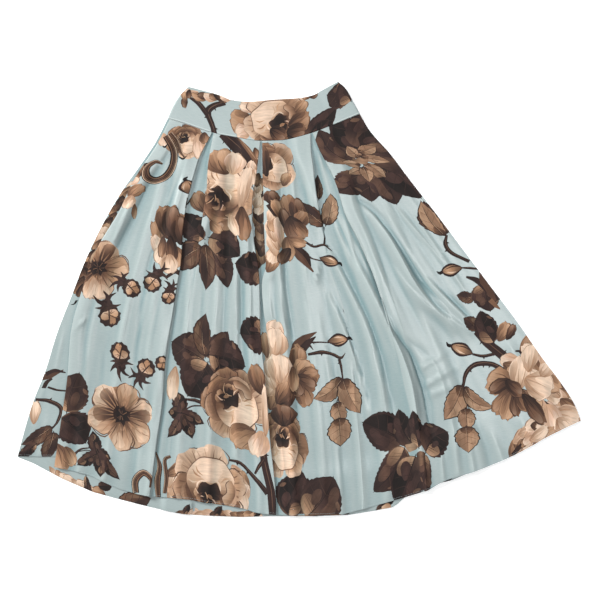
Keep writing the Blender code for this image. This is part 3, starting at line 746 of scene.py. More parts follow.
def front_cloth(rows):
    k = FINE
    v_all = row_steps(rows * k, SEAM_DROP / LENGTH)
    pts, dev, rooms, ripple, shown = [], [], [], [], []
    turns = []
    for v in v_all:
        a_row, s_row, folds = FRONT.row(v, fold_radius(v), (3 * k, 3 * k, 6 * k))
        length = s_row[-1]
        s, z, lift, seen = [], [], [], []

        def put(ps, pz, up=0.0, show=1):
            s.append(ps), z.append(pz), lift.append(up), seen.append(show)

        def run(p0, p1, z0, z1, n, up0=0.0, up1=0.0, show=1):
            for m in range(1, n + 1):
                t = m / n
                put(p0 + (p1 - p0) * t, z0 + (z1 - z0) * t,
                    up0 + (up1 - up0) * t, show)

        first = []
        _, e0, _, d0, pts0 = folds[0]
        put(0.0, -d0)
        run(0.0, e0, -d0, -d0, 8 * k, 0.0, HEM_LIFT)
        run(e0, pts0[0][0], -d0, -d0, 2 * k, HEM_LIFT, HEM_LIFT, 0)
        first.append(len(s) - 1)
        outer = len(pts0) - 6 * k
        for m, (ps, pz) in enumerate(pts0[1:], 1):
            put(ps, pz, HEM_LIFT * max(0.0, 1 - m / (5 * k)),
                1 if m >= outer + 2 * k else 0)
        first.append(len(s) - 1)
        for n, (left, right) in enumerate(zip(folds[1::2], folds[2::2])):
            open_l, open_r = lies_open(left), lies_open(right)
            run(s[-1], left[4][0][0], 0.0, 0.0, FACES[n] * k)
            first.append(len(s) - 1)
            for m, (ps, pz) in enumerate(left[4][1:], 1):
                put(ps, pz, 0.0, 1 if open_l or m <= 4 * k else 0)
            run(s[-1], left[1], -left[3], -left[3], 3 * k, show=int(open_l))
            run(left[1], right[1], -left[3], -right[3], UNDERLAYS[n] * k)
            run(right[1], right[4][0][0], -right[3], -right[3], 3 * k,
                show=int(open_r))
            for m, (ps, pz) in enumerate(right[4][1:], 1):
                put(ps, pz, 0.0, 1 if open_r or m >= outer + 2 * k else 0)
            first.append(len(s) - 1)
        # the last face is wide, and finer where its creases are
        start, n = s[-1], FACES[-1] * k
        for m in range(1, n + 1):
            t = m / n
            put(start + (length - start) * (0.72 * t + 0.28 * t ** 3), 0.0)

        s, z, lift = np.array(s), np.array(z), np.array(lift)
        rooms.append(front_room(s, length, folds))
        a = np.interp(s, s_row, a_row)
        ripple.append(streaks(a, v))
        dev.append(developed(s, z))
        z = z + front_face(s, length, folds) + front_base(v, s, a, length)
        plan = BODY.at(a, v * (1 - lift / LENGTH))
        pts.append(np.c_[plan, z])
        shown.append(seen)
        turns = first
    pts, dev = np.array(pts), np.array(dev)
    lift = creased(pts[..., 0], pts[..., 1]) + creased(pts[..., 0], pts[..., 1], MOUNDS)
    pts[..., 2] += floored(lift + np.array(ripple), -np.array(rooms))
    middle = (turns[3] + turns[4]) // 2
    dev = dev - dev[:, middle:middle + 1]
    width = dev[:, -1] - dev[:, 0]
    radius = LENGTH / (width[-1] / width[0] - 1)
    cloth = Cloth(v_all, pts, dev, LENGTH, radius, np.array(shown, bool))
    # painted shade down in the creases and a painted highlight along the crests, stored as colour
    # factors
    cloth.tint = crease_shade_and_crest_highlight(hollows(cloth))
    cloth.spots = CLOSE_SPOTS
    # columns that the flat mesh must not cut across: all those of the folds
    keep = [c for lo, hi in zip(turns[::2], turns[1::2])
            for c in range(lo, hi + 1) if c % k == 0]
    return cloth, keep


# =====================================================================
# Drawing tools for the printed flowers and leaves, in the flat cut
# =====================================================================
def ink(r, g, b):
    """Linear colour of an 8-bit display colour."""
    c = np.array([r, g, b], float) / 255.0
    return np.where(c <= 0.04045, c / 12.92, ((c + 0.055) / 1.055) ** 2.4)


SATIN_BLUE = ink(154, 167, 167)
REVERSE = ink(160, 174, 176)
PALE = ink(213, 188, 167)
CREAM = ink(201, 173, 150)
PINK = ink(190, 158, 138)
TAN = ink(172, 136, 107)
SAND = ink(148, 112, 85)
BROWN = ink(110, 79, 60)
UMBER = ink(77, 53, 42)
DARK = ink(46, 31, 27)
HOLLOW = ink(26, 18, 17)
LEAF_DARK = ink(44, 29, 27)
LEAF_PLUM = ink(63, 43, 39)
LEAF_MID = ink(85, 61, 50)
LEAF_EDGE = ink(22, 15, 14)
TAUPE = ink(146, 114, 89)
TAUPE_LIGHT = ink(166, 134, 108)
TAUPE_DARK = ink(108, 82, 64)


def mix(a, b, t):
    return a + (b - a) * t


def across(p0, p1, *stops):
    """Colours that run from one local point to another."""
    return "across", np.array(p0, float), np.array(p1, float), stops


def around(centre, r0, r1, *stops):
    """Colours that run outwards from r0 to r1 of a local point."""
    return "around", np.array(centre, float), (r0, r1), stops


def even(colour):
    return "even", None, None, (colour, colour)


def rounded(points, per=3):
    """A smooth closed line through the points."""
    p = np.asarray(points, float)
    a, b, c, d = np.roll(p, 1, 0), p, np.roll(p, -1, 0), np.roll(p, -2, 0)
    out = []
    for k in range(per):
        t = k / per
        out.append(0.5 * (2 * b + (c - a) * t + (2 * a - 5 * b + 4 * c - d) * t * t
                          + (3 * b - a - 3 * c + d) * t ** 3))
    return np.stack(out, 1).reshape(-1, 2)


def flowing(points, per=4):
    """A smooth open line through the points."""
    p = np.asarray(points, float)
    p = np.vstack([2 * p[0] - p[1], p, 2 * p[-1] - p[-2]])
    out = []
    for i in range(1, len(p) - 2):
        a, b, c, d = p[i - 1], p[i], p[i + 1], p[i + 2]
        for k in range(per):
            t = k / per
            out.append(0.5 * (2 * b + (c - a) * t
                              + (2 * a - 5 * b + 4 * c - d) * t * t
                              + (3 * b - a - 3 * c + d) * t ** 3))
    out.append(p[-2])
    return np.array(out)


def ribbon(points, widths, per=4):
    """The outline of a stroke whose width runs through the given widths."""
    line = flowing(points, per)
    w = np.interp(np.linspace(0, 1, len(line)),
                  np.linspace(0, 1, len(widths)), widths)
    way = np.gradient(line, axis=0)
    way /= np.maximum(np.linalg.norm(way, axis=1), 1e-9)[:, None]
    side = np.c_[-way[:, 1], way[:, 0]] * 0.5 * w[:, None]
    return np.vstack([line + side, (line - side)[::-1]])


def blob(centre, rx, ry, rng, wobble=0.08, n=10, turn=0.0):
    pts = []
    for k in range(n):
        a = 2 * math.pi * k / n
        r = 1 + wobble * rng.uniform(-1, 1)
        x, y = rx * r * math.cos(a), ry * r * math.sin(a)
        pts.append((centre[0] + x * math.cos(turn) - y * math.sin(turn),
                    centre[1] + x * math.sin(turn) + y * math.cos(turn)))
    return rounded(pts, 3)


def polar(r, degrees, centre=(0.0, 0.0)):
    a = math.radians(degrees)
    return np.array([centre[0] + r * math.cos(a), centre[1] + r * math.sin(a)])


class Artwork:
    """Layers of paint on a cloth's flat cut, the last one on top."""

    def __init__(self, cloth):
        self.cloth = cloth
        self.layers = []

    def pen(self, px, py, angle=0.0, wide=1.0, tall=1.0):
        spot, turn = self.cloth.anchor(px, py)
        return Pen(self, spot, turn, angle, wide, tall)

    def line(self, *points):
        """A pen whose x axis runs from the first point to the last, both in
        the 600 x 600 frame, with its origin half way, and the length."""
        (x0, y0), (x1, y1) = points[0], points[-1]
        angle = math.degrees(math.atan2(y0 - y1, x1 - x0))
        length = 2.0 * math.hypot(x1 - x0, y1 - y0)
        return self.pen(0.5 * (x0 + x1), 0.5 * (y0 + y1), angle), length


class Pen:
    def __init__(self, art, spot, turn, angle, wide=1.0, tall=1.0, shift=(0, 0)):
        self.art, self.spot, self.turn = art, spot, turn
        self.angle = math.radians(angle)
        self.wide, self.tall = wide, tall
        self.shift = np.array(shift, float)

    def moved(self, x, y, angle=0.0):
        """The same pen with its origin moved and turned in its own frame."""
        other = Pen(self.art, self.spot, self.turn, 0.0, self.wide, self.tall)
        c, s = math.cos(self.angle), math.sin(self.angle)
        other.shift = self.shift + np.array([x * c - y * s, x * s + y * c])
        other.angle = self.angle + math.radians(angle)
        return other

    def to_flat(self, p):
        p = np.atleast_2d(np.asarray(p, float))
        c, s = math.cos(self.angle), math.sin(self.angle)
        x = (p[:, 0] * c - p[:, 1] * s + self.shift[0]) * self.wide
        y = (p[:, 0] * s + p[:, 1] * c + self.shift[1]) * self.tall
        c, s = math.cos(self.turn), math.sin(self.turn)
        return self.spot + np.c_[x * c - y * s, x * s + y * c]

    def fill(self, points, paint, grain=0.0):
        kind, a, b, stops = paint
        size = 0.5 * (self.wide + self.tall)
        if kind == "across":
            a, b = self.to_flat(a)[0], self.to_flat(b)[0]
        elif kind == "around":
            a = self.to_flat(a)[0]
            b = (b[0] * size, b[1] * size)
        pts = self.to_flat(points)
        self.art.layers.append({
            "points": pts, "kind": kind, "a": a, "b": b,
            "stops": np.array(stops), "grain": self.turn + self.angle + grain,
            "low": pts.min(0), "high": pts.max(0)})

    def stroke(self, points, widths, colour, per=4):
        points = np.asarray(points, float)
        way = points[-1] - points[0]
        paint = colour if isinstance(colour, tuple) else even(colour)
        self.fill(ribbon(points, widths, per), paint,
                  math.atan2(way[1], way[0]))


def paint_at(layer, q):
    """The layer's colours at flat points."""
    if layer["kind"] == "even":
        return np.broadcast_to(layer["stops"][0], (len(q), 3))
    if layer["kind"] == "across":
        way = layer["b"] - layer["a"]
        t = (q - layer["a"]) @ way / max(way @ way, 1e-9)
    else:
        r0, r1 = layer["b"]
        t = (np.hypot(*(q - layer["a"]).T) - r0) / max(r1 - r0, 1e-9)
    stops = layer["stops"]
    at_ = np.linspace(0, 1, len(stops))
    t = np.clip(t, 0, 1)
    return np.stack([np.interp(t, at_, stops[:, k]) for k in range(3)], -1)


# ---------------------------------------------------------------- leaves
def leaf(pen, length, width, style, rng, bend=0.0, teeth=6):
    """A toothed rose leaf from the pen's origin along its x axis."""
    lean = rng.uniform(-0.06, 0.06)

    dark = style in ("dark", "plum", "small")
    point = 0.26 if dark and style != "small" else 0.50
    if dark:
        teeth = max(teeth, int(length / 9.0))

    def half(t):
        return 0.5 * width * max(math.sin(math.pi * t ** 0.86), 0.0) ** (
            0.52 + point * t * t)

    def on(t, w):
        return (t * length,
                bend * length * 4 * t * (1 - t) + w + lean * length * t * t)

    rough = 0.055 * 6.0 / teeth

    def edge(side, scale=1.0, toothed=True):
        out = []
        swell = 1.0 + side * rng.uniform(-0.06, 0.10)
        for k in range(teeth):
            for f, out_by in ((0.25, 1.0), (0.72, 1.0 + rough), (0.95, 1.0 - rough)):
                t = (k + f) / teeth
                w = half(t) * swell * (out_by if toothed else 1.0)
                w *= 1 + 0.05 * math.sin(7 * t + 2 * side + length)
                out.append(on(min(t, 0.985), side * w * scale))
        return out

    upper, lower = edge(1), edge(-1)
    tip = on(1.02, 0.0)
    outline = [on(0, 0)] + upper + [tip] + lower[::-1]
    way = (on(0.0, 0.0), on(1.0, 0.0))
    if style == "dark":
        body = across(*way, LEAF_MID, LEAF_DARK, LEAF_DARK, LEAF_DARK)
        deep, glow, vein = LEAF_EDGE, LEAF_PLUM, mix(LEAF_PLUM, LEAF_EDGE, 0.4)
    elif style == "plum":
        body = across(*way, TAUPE_DARK, LEAF_PLUM, LEAF_DARK, LEAF_DARK)
        deep, glow, vein = LEAF_DARK, LEAF_MID, mix(LEAF_MID, LEAF_EDGE, 0.4)
    elif style == "small":
        body = across(*way, LEAF_PLUM, LEAF_DARK, LEAF_DARK)
        deep, glow, vein = LEAF_EDGE, LEAF_MID, LEAF_PLUM
    elif style == "umber":
        body = across(*way, BROWN, UMBER, LEAF_PLUM)
        deep, glow, vein = LEAF_DARK, TAUPE_DARK, LEAF_DARK
    else:
        body = across(*way, TAUPE_DARK, TAUPE, TAUPE_LIGHT, TAUPE)
        deep, glow, vein = BROWN, TAUPE_LIGHT, BROWN
    if dark:
        pen.fill(outline, body)
    else:
        pen.fill(outline, even(DARK))
        inner = [(x + (way[1][0] * 0.5 - x) * 0.07, y * 0.90
                  + 0.10 * on(0.5, 0)[1]) for x, y in outline]
        pen.fill(inner, body)

    # one half turned away from the light
    side = 1 if rng.random() < 0.5 else -1
    shade = [on(0.02, 0)]
    for t in (0.12, 0.28, 0.45, 0.62, 0.78, 0.9):
        shade.append(on(t, side * half(t) * rng.uniform(0.78, 0.9)))
    shade += [on(0.97, 0.0)] + [on(t, 0.0) for t in (0.7, 0.45, 0.2)]
    soft = 0.35 if style != "taupe" else 0.6
    pen.fill(shade, across(*way, mix(deep, glow, soft), mix(deep, glow, soft - 0.35),
                           mix(deep, glow, soft - 0.2)))

    # a sheen patch on the other half
    gleam = []
    t0, t1 = rng.uniform(0.25, 0.4), rng.uniform(0.6, 0.78)
    for t in np.linspace(t0, t1, 5):
        gleam.append(on(t, -side * half(t) * rng.uniform(0.62, 0.82)))
    for t in np.linspace(t1, t0, 4):
        gleam.append(on(t, -side * half(t) * rng.uniform(0.22, 0.34)))
    pen.fill(rounded(gleam, 2), across(on(t0, 0), on(t1, 0), mix(glow, deep, 0.4),
                                       glow, mix(glow, deep, 0.5)))

    # paler cloth-like patch at the base of dark leaves
    if style == "plum" or style == "dark" and rng.random() < 0.55:
        s = side if rng.random() < 0.6 else -side
        far = rng.uniform(0.26, 0.46)
        patch = [on(0.015, 0), on(0.08, s * half(0.08) * 0.85),
                 on(0.2, s * half(0.2) * 0.9),
                 on(far * 0.8, s * half(far * 0.8) * rng.uniform(0.7, 0.95)),
                 on(far, s * half(far) * 0.55), on(far * 0.9, s * half(far) * 0.22),
                 on(far * 0.55, s * half(far * 0.5) * 0.08)]
        pen.fill(rounded(patch, 2), across(on(0, 0), on(far, 0), TAUPE_LIGHT, TAUPE,
                                           TAUPE_DARK, LEAF_MID))
        for t in (0.12, 0.24):
            pen.stroke([on(t, 0), on(t + 0.10, s * half(t + 0.1) * 0.75)],
                       [0.9, 0.5], LEAF_MID)
        t = rng.uniform(0.5, 0.68)
        lick = [on(t, -s * half(t) * 0.92), on(t + 0.10, -s * half(t + .1) * 0.86),
                on(t + 0.13, -s * half(t + .13) * 0.6), on(t + 0.03, -s * half(t) * 0.66)]
        pen.fill(rounded(lick, 2), even(mix(TAUPE_DARK, LEAF_MID, 0.65)))
    elif style == "small":
        spot = [on(0.55, 0.05 * width), on(0.72, half(0.72) * 0.6),
                on(0.86, 0.0), on(0.72, -half(0.72) * 0.5)]
        pen.fill(rounded(spot, 2), even(TAUPE_DARK))
    elif not dark:
        base = [on(0.01, 0), on(0.10, half(0.1) * 0.8), on(0.22, half(0.22) * 0.45),
                on(0.30, 0.0), on(0.20, -half(0.2) * 0.5), on(0.09, -half(0.09) * 0.8)]
        pen.fill(rounded(base, 2), across(on(0, 0), on(0.3, 0), DARK, BROWN))

    # a cloudy bloom on the blade, as a brush leaves it
    if dark and length > 44:
        for t, w in ((rng.uniform(0.3, 0.45), 0.30), (rng.uniform(0.6, 0.75), -0.34)):
            c = on(t, side * w * width * 0.5)
            size = rng.uniform(0.13, 0.19) * length
            pen.fill(blob(c, size, 0.6 * size, rng, 0.16, 7, rng.uniform(-0.6, 0.6)),
                     around(c, 0.0, 0.95 * size, glow, mix(glow, LEAF_DARK, 0.45)))

    # midrib and veins
    for k in range(0 if length < 34 else 2 if length < 50 else 3):
        t = 0.16 + 0.22 * k
        for s in (1, -1):
            a = on(t, 0)
            b = on(t + 0.09, s * half(t + 0.09) * 0.45)
            c = on(t + 0.17, s * half(min(t + 0.17, 0.95)) * 0.84)
            pen.stroke([a, b, c], [1.0, 0.9, 0.3], vein, 1)
    pen.stroke([on(-0.04, 0), on(0.25, 0), on(0.6, 0), on(0.95, 0)],
               [1.7, 1.3, 1.0, 0.4], DARK if not dark else LEAF_EDGE, 3)
    if length > 30:
        pen.stroke([on(0.06, side * 0.9), on(0.3, side * 0.9), on(0.58, side * 0.7)],
                   [0.5, 0.8, 0.2], glow if dark else TAUPE_LIGHT, 2)


# ---------------------------------------------------------------- petals
def petal_outline(a, r0, r1, half, rng, ruffle=0.05, n=9, square=0.42):
    pts = []
    for k in range(n + 1):
        f = k / n
        ang = a - half + 2 * half * f
        body = math.sin(math.pi * f) ** square if 0 < f < 1 else 0.0
        r = r0 + (r1 - r0) * body * (1 + ruffle * rng.uniform(-1, 1))
        pts.append(polar(r, ang))
    for f in (0.7, 0.3):
        pts.append(polar(r0 * 0.86, a - half + 2 * half * f))
    return rounded(pts, 2)


def bow(a, r, half, lift=0.0, n=5, centre=(0, 0)):
    """Points of an arc round the centre, drawn in or out at its ends."""
    return [polar(r * (1 - lift * (2 * f - 1) ** 2), a - half + 2 * half * f, centre)
            for f in np.linspace(0, 1, n)]


def petal(pen, length, width, tones, rng, notch=0.06):
    """A loose ruffled petal from the origin along x; tones run base, middle, edge."""
    lean = rng.uniform(-0.10, 0.10)
    dark = mix(tones[0], DARK, 0.45)

    def half(t):
        return 0.5 * width * math.sin(math.pi * min(t, 1) ** 1.2) ** 0.5

    def on(t, w):
        return t * length, w + lean * width * math.sin(math.pi * t)

    def side(s, k=1.0):
        return [on(t, s * half(t) * k * rng.uniform(0.86, 1.06))
                for t in (0.05, 0.18, 0.32, 0.46, 0.60, 0.74, 0.86, 0.94)]
    top = [on(1.0, width * rng.uniform(0.12, 0.24)), on(1 - notch, width * 0.04),
           on(0.99, -width * rng.uniform(0.06, 0.14)), on(0.94, -width * 0.26)]
    line = rounded([on(0, 0)] + side(1) + top + side(-1)[::-1], 2)
    pen.moved(0.5, -0.7).fill(line, even(dark))
    pen.fill(line, across((0, 0), (length, 0), *tones))
    # the side that turns away, then the lit fold beside it
    s = rng.choice((-1, 1))
    shade = [on(0.04, 0)] + [on(t, s * half(t) * rng.uniform(0.84, 0.96))
                             for t in (0.2, 0.4, 0.6, 0.78)]
    shade += [on(0.84, s * half(0.84) * 0.55)]
    shade += [on(t, s * half(t) * rng.uniform(0.25, 0.5)) for t in (0.66, 0.46, 0.26)]
    pen.fill(rounded(shade, 2), across((0, 0), (0.9 * length, 0),
                                       mix(tones[0], DARK, 0.3),
                                       mix(tones[0], tones[1], 0.35), tones[1]))
    lit = [on(0.30, -s * half(0.3) * 0.35)]
    lit += [on(t, -s * half(t) * rng.uniform(0.62, 0.84)) for t in (0.5, 0.7, 0.88)]
    lit += [on(0.92, 0.0), on(0.72, s * half(0.7) * rng.uniform(0.0, 0.2)),
            on(0.5, -s * half(0.5) * 0.1)]
    pen.fill(rounded(lit, 2), across(on(0.3, 0), on(0.95, 0), tones[1],
                                     mix(tones[2], tones[1], 0.3),
                                     mix(tones[2], PALE, 0.18)))
    for q in (-0.24, 0.04, 0.28):
        pen.stroke([on(0.06, q * width * 0.3), on(0.42, q * width),
                    on(rng.uniform(0.6, 0.8), q * width * 1.15)],
                   [0.05 * width, 0.035 * width, 0.01 * width],
                   mix(tones[0], tones[1], rng.uniform(0.0, 0.5)), 2)
    pen.stroke([on(0.66, -s * half(0.66) * 0.98), on(0.90, -s * half(0.90) * 0.92),
                on(0.985, 0)], [0.3, 0.9, 0.3], mix(tones[0], DARK, 0.3), 2)


# ---------------------------------------------------------------- flowers
def rose(pen, size, light, rng, outer=5, warm=0.0):
    """A full rose.  light is the way, in degrees, from its heart to the side
    where the petals are palest; warm makes it browner."""
    R = size
    glow = polar(1.0, light)

    def tones(a, bright=0.0):
        near = 0.5 + 0.5 * math.cos(math.radians(a - light)) + bright - warm
        near = min(max(near, 0.0), 1.0)
        base = mix(UMBER, BROWN, near)
        mid = mix(BROWN, TAN, near) if near < 0.5 else mix(TAN, CREAM, 2 * near - 1)
        rim = mix(SAND, CREAM, near)
        return base, mid, mix(rim, PALE, 0.3 * near)

    # outer petals, each with a folded rim and a side that turns away
    start = light + rng.uniform(-25, 25)
    order = list(range(outer))
    rng.shuffle(order)
    for k in order:
        a = start + 360 * k / outer + rng.uniform(-9, 9)
        r1 = R * rng.uniform(0.90, 1.06)
        half = 0.62 * 360 / outer
        line = petal_outline(a, 0.42 * R, r1, half, rng, 0.065, 11)
        base, mid, rim = tones(a)
        pen.moved(*(-glow * 0.018 * R + polar(0.012 * R, a))).fill(
            line, even(mix(base, DARK, 0.4)))
        pen.fill(line, around((0, 0), 0.48 * R, r1, base, mix(base, mid, 0.7),
                              mid, rim), math.radians(a))
        s = rng.choice((-1, 1))
        fold_ = [polar(0.62 * r1, a + s * half * 0.92),
                 polar(0.80 * r1, a + s * half * 0.90),
                 polar(0.93 * r1, a + s * half * 0.66),
                 polar(0.955 * r1, a + s * half * 0.25),
                 polar(0.85 * r1, a + s * half * 0.20),
                 polar(0.80 * r1, a + s * half * 0.52),
                 polar(0.66 * r1, a + s * half * 0.70)]
        pen.fill(rounded(fold_, 2), around((0, 0), 0.6 * R, r1, mix(base, mid, 0.4),
                                           mix(mid, rim, 0.4), mix(rim, PALE, 0.3)))
        for d in (-0.6, -0.3, 0.05, 0.35):
            pen.stroke([polar(0.58 * R, a - s * d * half),
                        polar(0.74 * R, a - s * d * half * 1.1),
                        polar((0.80 + 0.14 * rng.random()) * r1, a - s * d * half * 1.2)],
                       [0.045 * R, 0.035 * R, 0.006 * R],
                       mix(base, mid, rng.uniform(0.15, 0.6)), 2)
        pen.stroke([polar(0.70 * r1, a - s * half * 0.90),
                    polar(0.90 * r1, a - s * half * 0.74),
                    polar(0.985 * r1, a - s * half * 0.35)],
                   [0.015 * R, 0.035 * R, 0.01 * R], mix(base, DARK, 0.5), 2)

    # petals behind the bowl on the shaded side
    for k in range(3):
        a = light + 120 + 60 * k + rng.uniform(-12, 12)
        r1 = R * rng.uniform(0.72, 0.84)
        line = petal_outline(a, 0.30 * R, r1, 46, rng, 0.06, 10)
        base, mid, rim = tones(a, 0.05)
        pen.moved(*(-glow * 0.02 * R)).fill(line, even(mix(base, DARK, 0.7)))
        pen.fill(line, around((0, 0), 0.36 * R, r1, mix(base, DARK, 0.3), base, mid, rim),
                 math.radians(a))
        for q in (0.93, 0.80):
            pen.stroke(bow(a + rng.uniform(-8, 8), q * r1, rng.uniform(22, 34), 0.05, 5),
                       [0.008 * R, 0.04 * R, 0.006 * R],
                       mix(base, rim, 0.9 if q > 0.9 else 0.25), 2)

    # the bowl: one broad pale petal round the lit side, edged by a dark gap
    spots = []
    for k in range(16):
        a = light - 180 + 360 * k / 16
        near = 0.5 + 0.5 * math.cos(math.radians(a - light))
        r = (0.46 + 0.24 * near) * R * (1 + 0.045 * math.sin(3.0 * k + size)
                                        + rng.uniform(-0.02, 0.02))
        spots.append(polar(r, a))
    ring = rounded(spots, 3)
    pen.moved(*(glow * 0.028 * R)).fill(ring, around((0, 0), 0.5 * R, 0.75 * R, BROWN,
                                                     UMBER, BROWN))
    # deep shade under the bowl on its far side
    under = [polar(0.60 * R * (1 + 0.06 * math.sin(3 * f)), light + 180 + f)
             for f in (-88, -60, -30, 0, 30, 60, 88)]
    under += [polar(0.36 * R, light + 180 + f) for f in (50, 0, -50)]
    pen.fill(rounded(under, 2), around((0, 0), 0.38 * R, 0.64 * R, DARK, UMBER,
                                       mix(UMBER, BROWN, 0.6)))
    pen.fill(ring, across(-glow * 0.45 * R, glow * 0.62 * R, UMBER, BROWN,
                          mix(TAN, CREAM, 0.4 - 0.5 * min(warm, 0.5)), CREAM,
                          mix(PALE, CREAM, 0.4 + warm)))
    ball = glow * 0.36 * R + polar(0.05 * R, light + 90)
    pen.fill(blob(ball, 0.26 * R, 0.33 * R, rng, 0.10, 9, math.radians(light)),
             around(ball, 0.0, 0.36 * R, PALE, mix(PALE, CREAM, 0.3),
                    mix(PALE, CREAM, 0.8)))
    # soft pleats of the bowl
    for d, tone, w in ((-62, TAN, 0.05), (-48, CREAM, 0.04), (40, TAN, 0.045),
                       (58, SAND, 0.05), (74, CREAM, 0.045)):
        a = light + d + rng.uniform(-6, 6)
        pen.stroke([polar(0.30 * R, a), polar(0.44 * R, a + 7), polar(0.57 * R, a + 2)],
                   [0.01 * R, w * R, 0.01 * R], tone, 3)

    # the hollow, ragged where the bowl's lip folds over it
    heart = -glow * 0.17 * R
    spots = []
    for k in range(15):
        a = light + 360 * k / 15
        r = 0.315 + 0.05 * math.sin(2.1 * k + R) + rng.uniform(-0.035, 0.035)
        q = polar(r * R, a)
        along = q @ glow
        spots.append(heart + q - glow * along * 0.16)
    pen.fill(rounded(spots, 3), around(heart, 0.0, 0.36 * R, HOLLOW, HOLLOW,
                                       mix(HOLLOW, DARK, 0.6), UMBER))
    # inner petals curl round it on the shaded side
    for k in range(6):
        a = light + 100 + 32 * k + rng.uniform(-8, 8)
        r0, r1 = rng.uniform(0.30, 0.38) * R, rng.uniform(0.10, 0.17) * R
        turn = rng.choice((-1, 1)) * rng.uniform(18, 34)
        line = [polar(r0, a - 17, heart), polar(r0 * 1.12, a, heart),
                polar(r0, a + 17, heart), polar(0.5 * (r0 + r1), a + turn * 0.5 + 12, heart),
                polar(r1, a + turn, heart), polar(0.55 * (r0 + r1), a + turn * 0.5 - 8, heart)]
        pen.fill(rounded(line, 3), across(polar(r0, a, heart), polar(r1, a + turn, heart),
                                          *((TAN, BROWN, UMBER), (SAND, UMBER, DARK),
                                            (BROWN, DARK, HOLLOW))[k % 3]))
        if k % 2 == 0:
            pen.stroke([polar(r0 * 1.05, a - 14, heart), polar(0.5 * (r0 + r1), a + turn * 0.4, heart),
                        polar(r1 * 1.1, a + turn, heart)],
                       [0.008 * R, 0.032 * R, 0.006 * R], (CREAM, TAN, PINK)[k // 2], 3)
    # lips of the bowl over the hollow
    for a0, a1, w in ((-70, -12, 0.045), (14, 76, 0.05)):
        pts = [polar(0.33 * R * (1 + 0.1 * math.sin(5 * f + R)),
                     light + a0 + (a1 - a0) * f, heart) for f in np.linspace(0, 1, 5)]
        pen.stroke(pts, [0.01 * R, w * R, w * 0.5 * R, w * R, 0.01 * R],
                   mix(PALE, CREAM, 0.35), 3)
    pen.fill(blob(heart + polar(0.09 * R, light + 205), 0.07 * R, 0.04 * R, rng,
                  0.25, 7, math.radians(light + 50)), even(mix(SAND, BROWN, 0.4)))
    pen.stroke([heart + polar(0.14 * R, light + 170), heart + polar(0.07 * R, light + 150),
                heart + polar(0.10 * R, light + 80)], [0.01 * R, 0.03 * R, 0.008 * R],
               TAN, 3)
    # the lowest petal folds up over the front
    a = light + rng.choice((-1, 1)) * rng.uniform(95, 120)
    low = [polar(0.60 * R, a - 30), polar(0.66 * R, a), polar(0.58 * R, a + 32),
           polar(0.42 * R, a + 26), polar(0.45 * R, a), polar(0.40 * R, a - 24)]
    pen.moved(*polar(0.02 * R, a + 180)).fill(rounded(low, 3), even(UMBER))
    base, mid, rim = tones(a, 0.2)
    pen.fill(rounded(low, 3), around((0, 0), 0.40 * R, 0.66 * R, rim, mid, base))


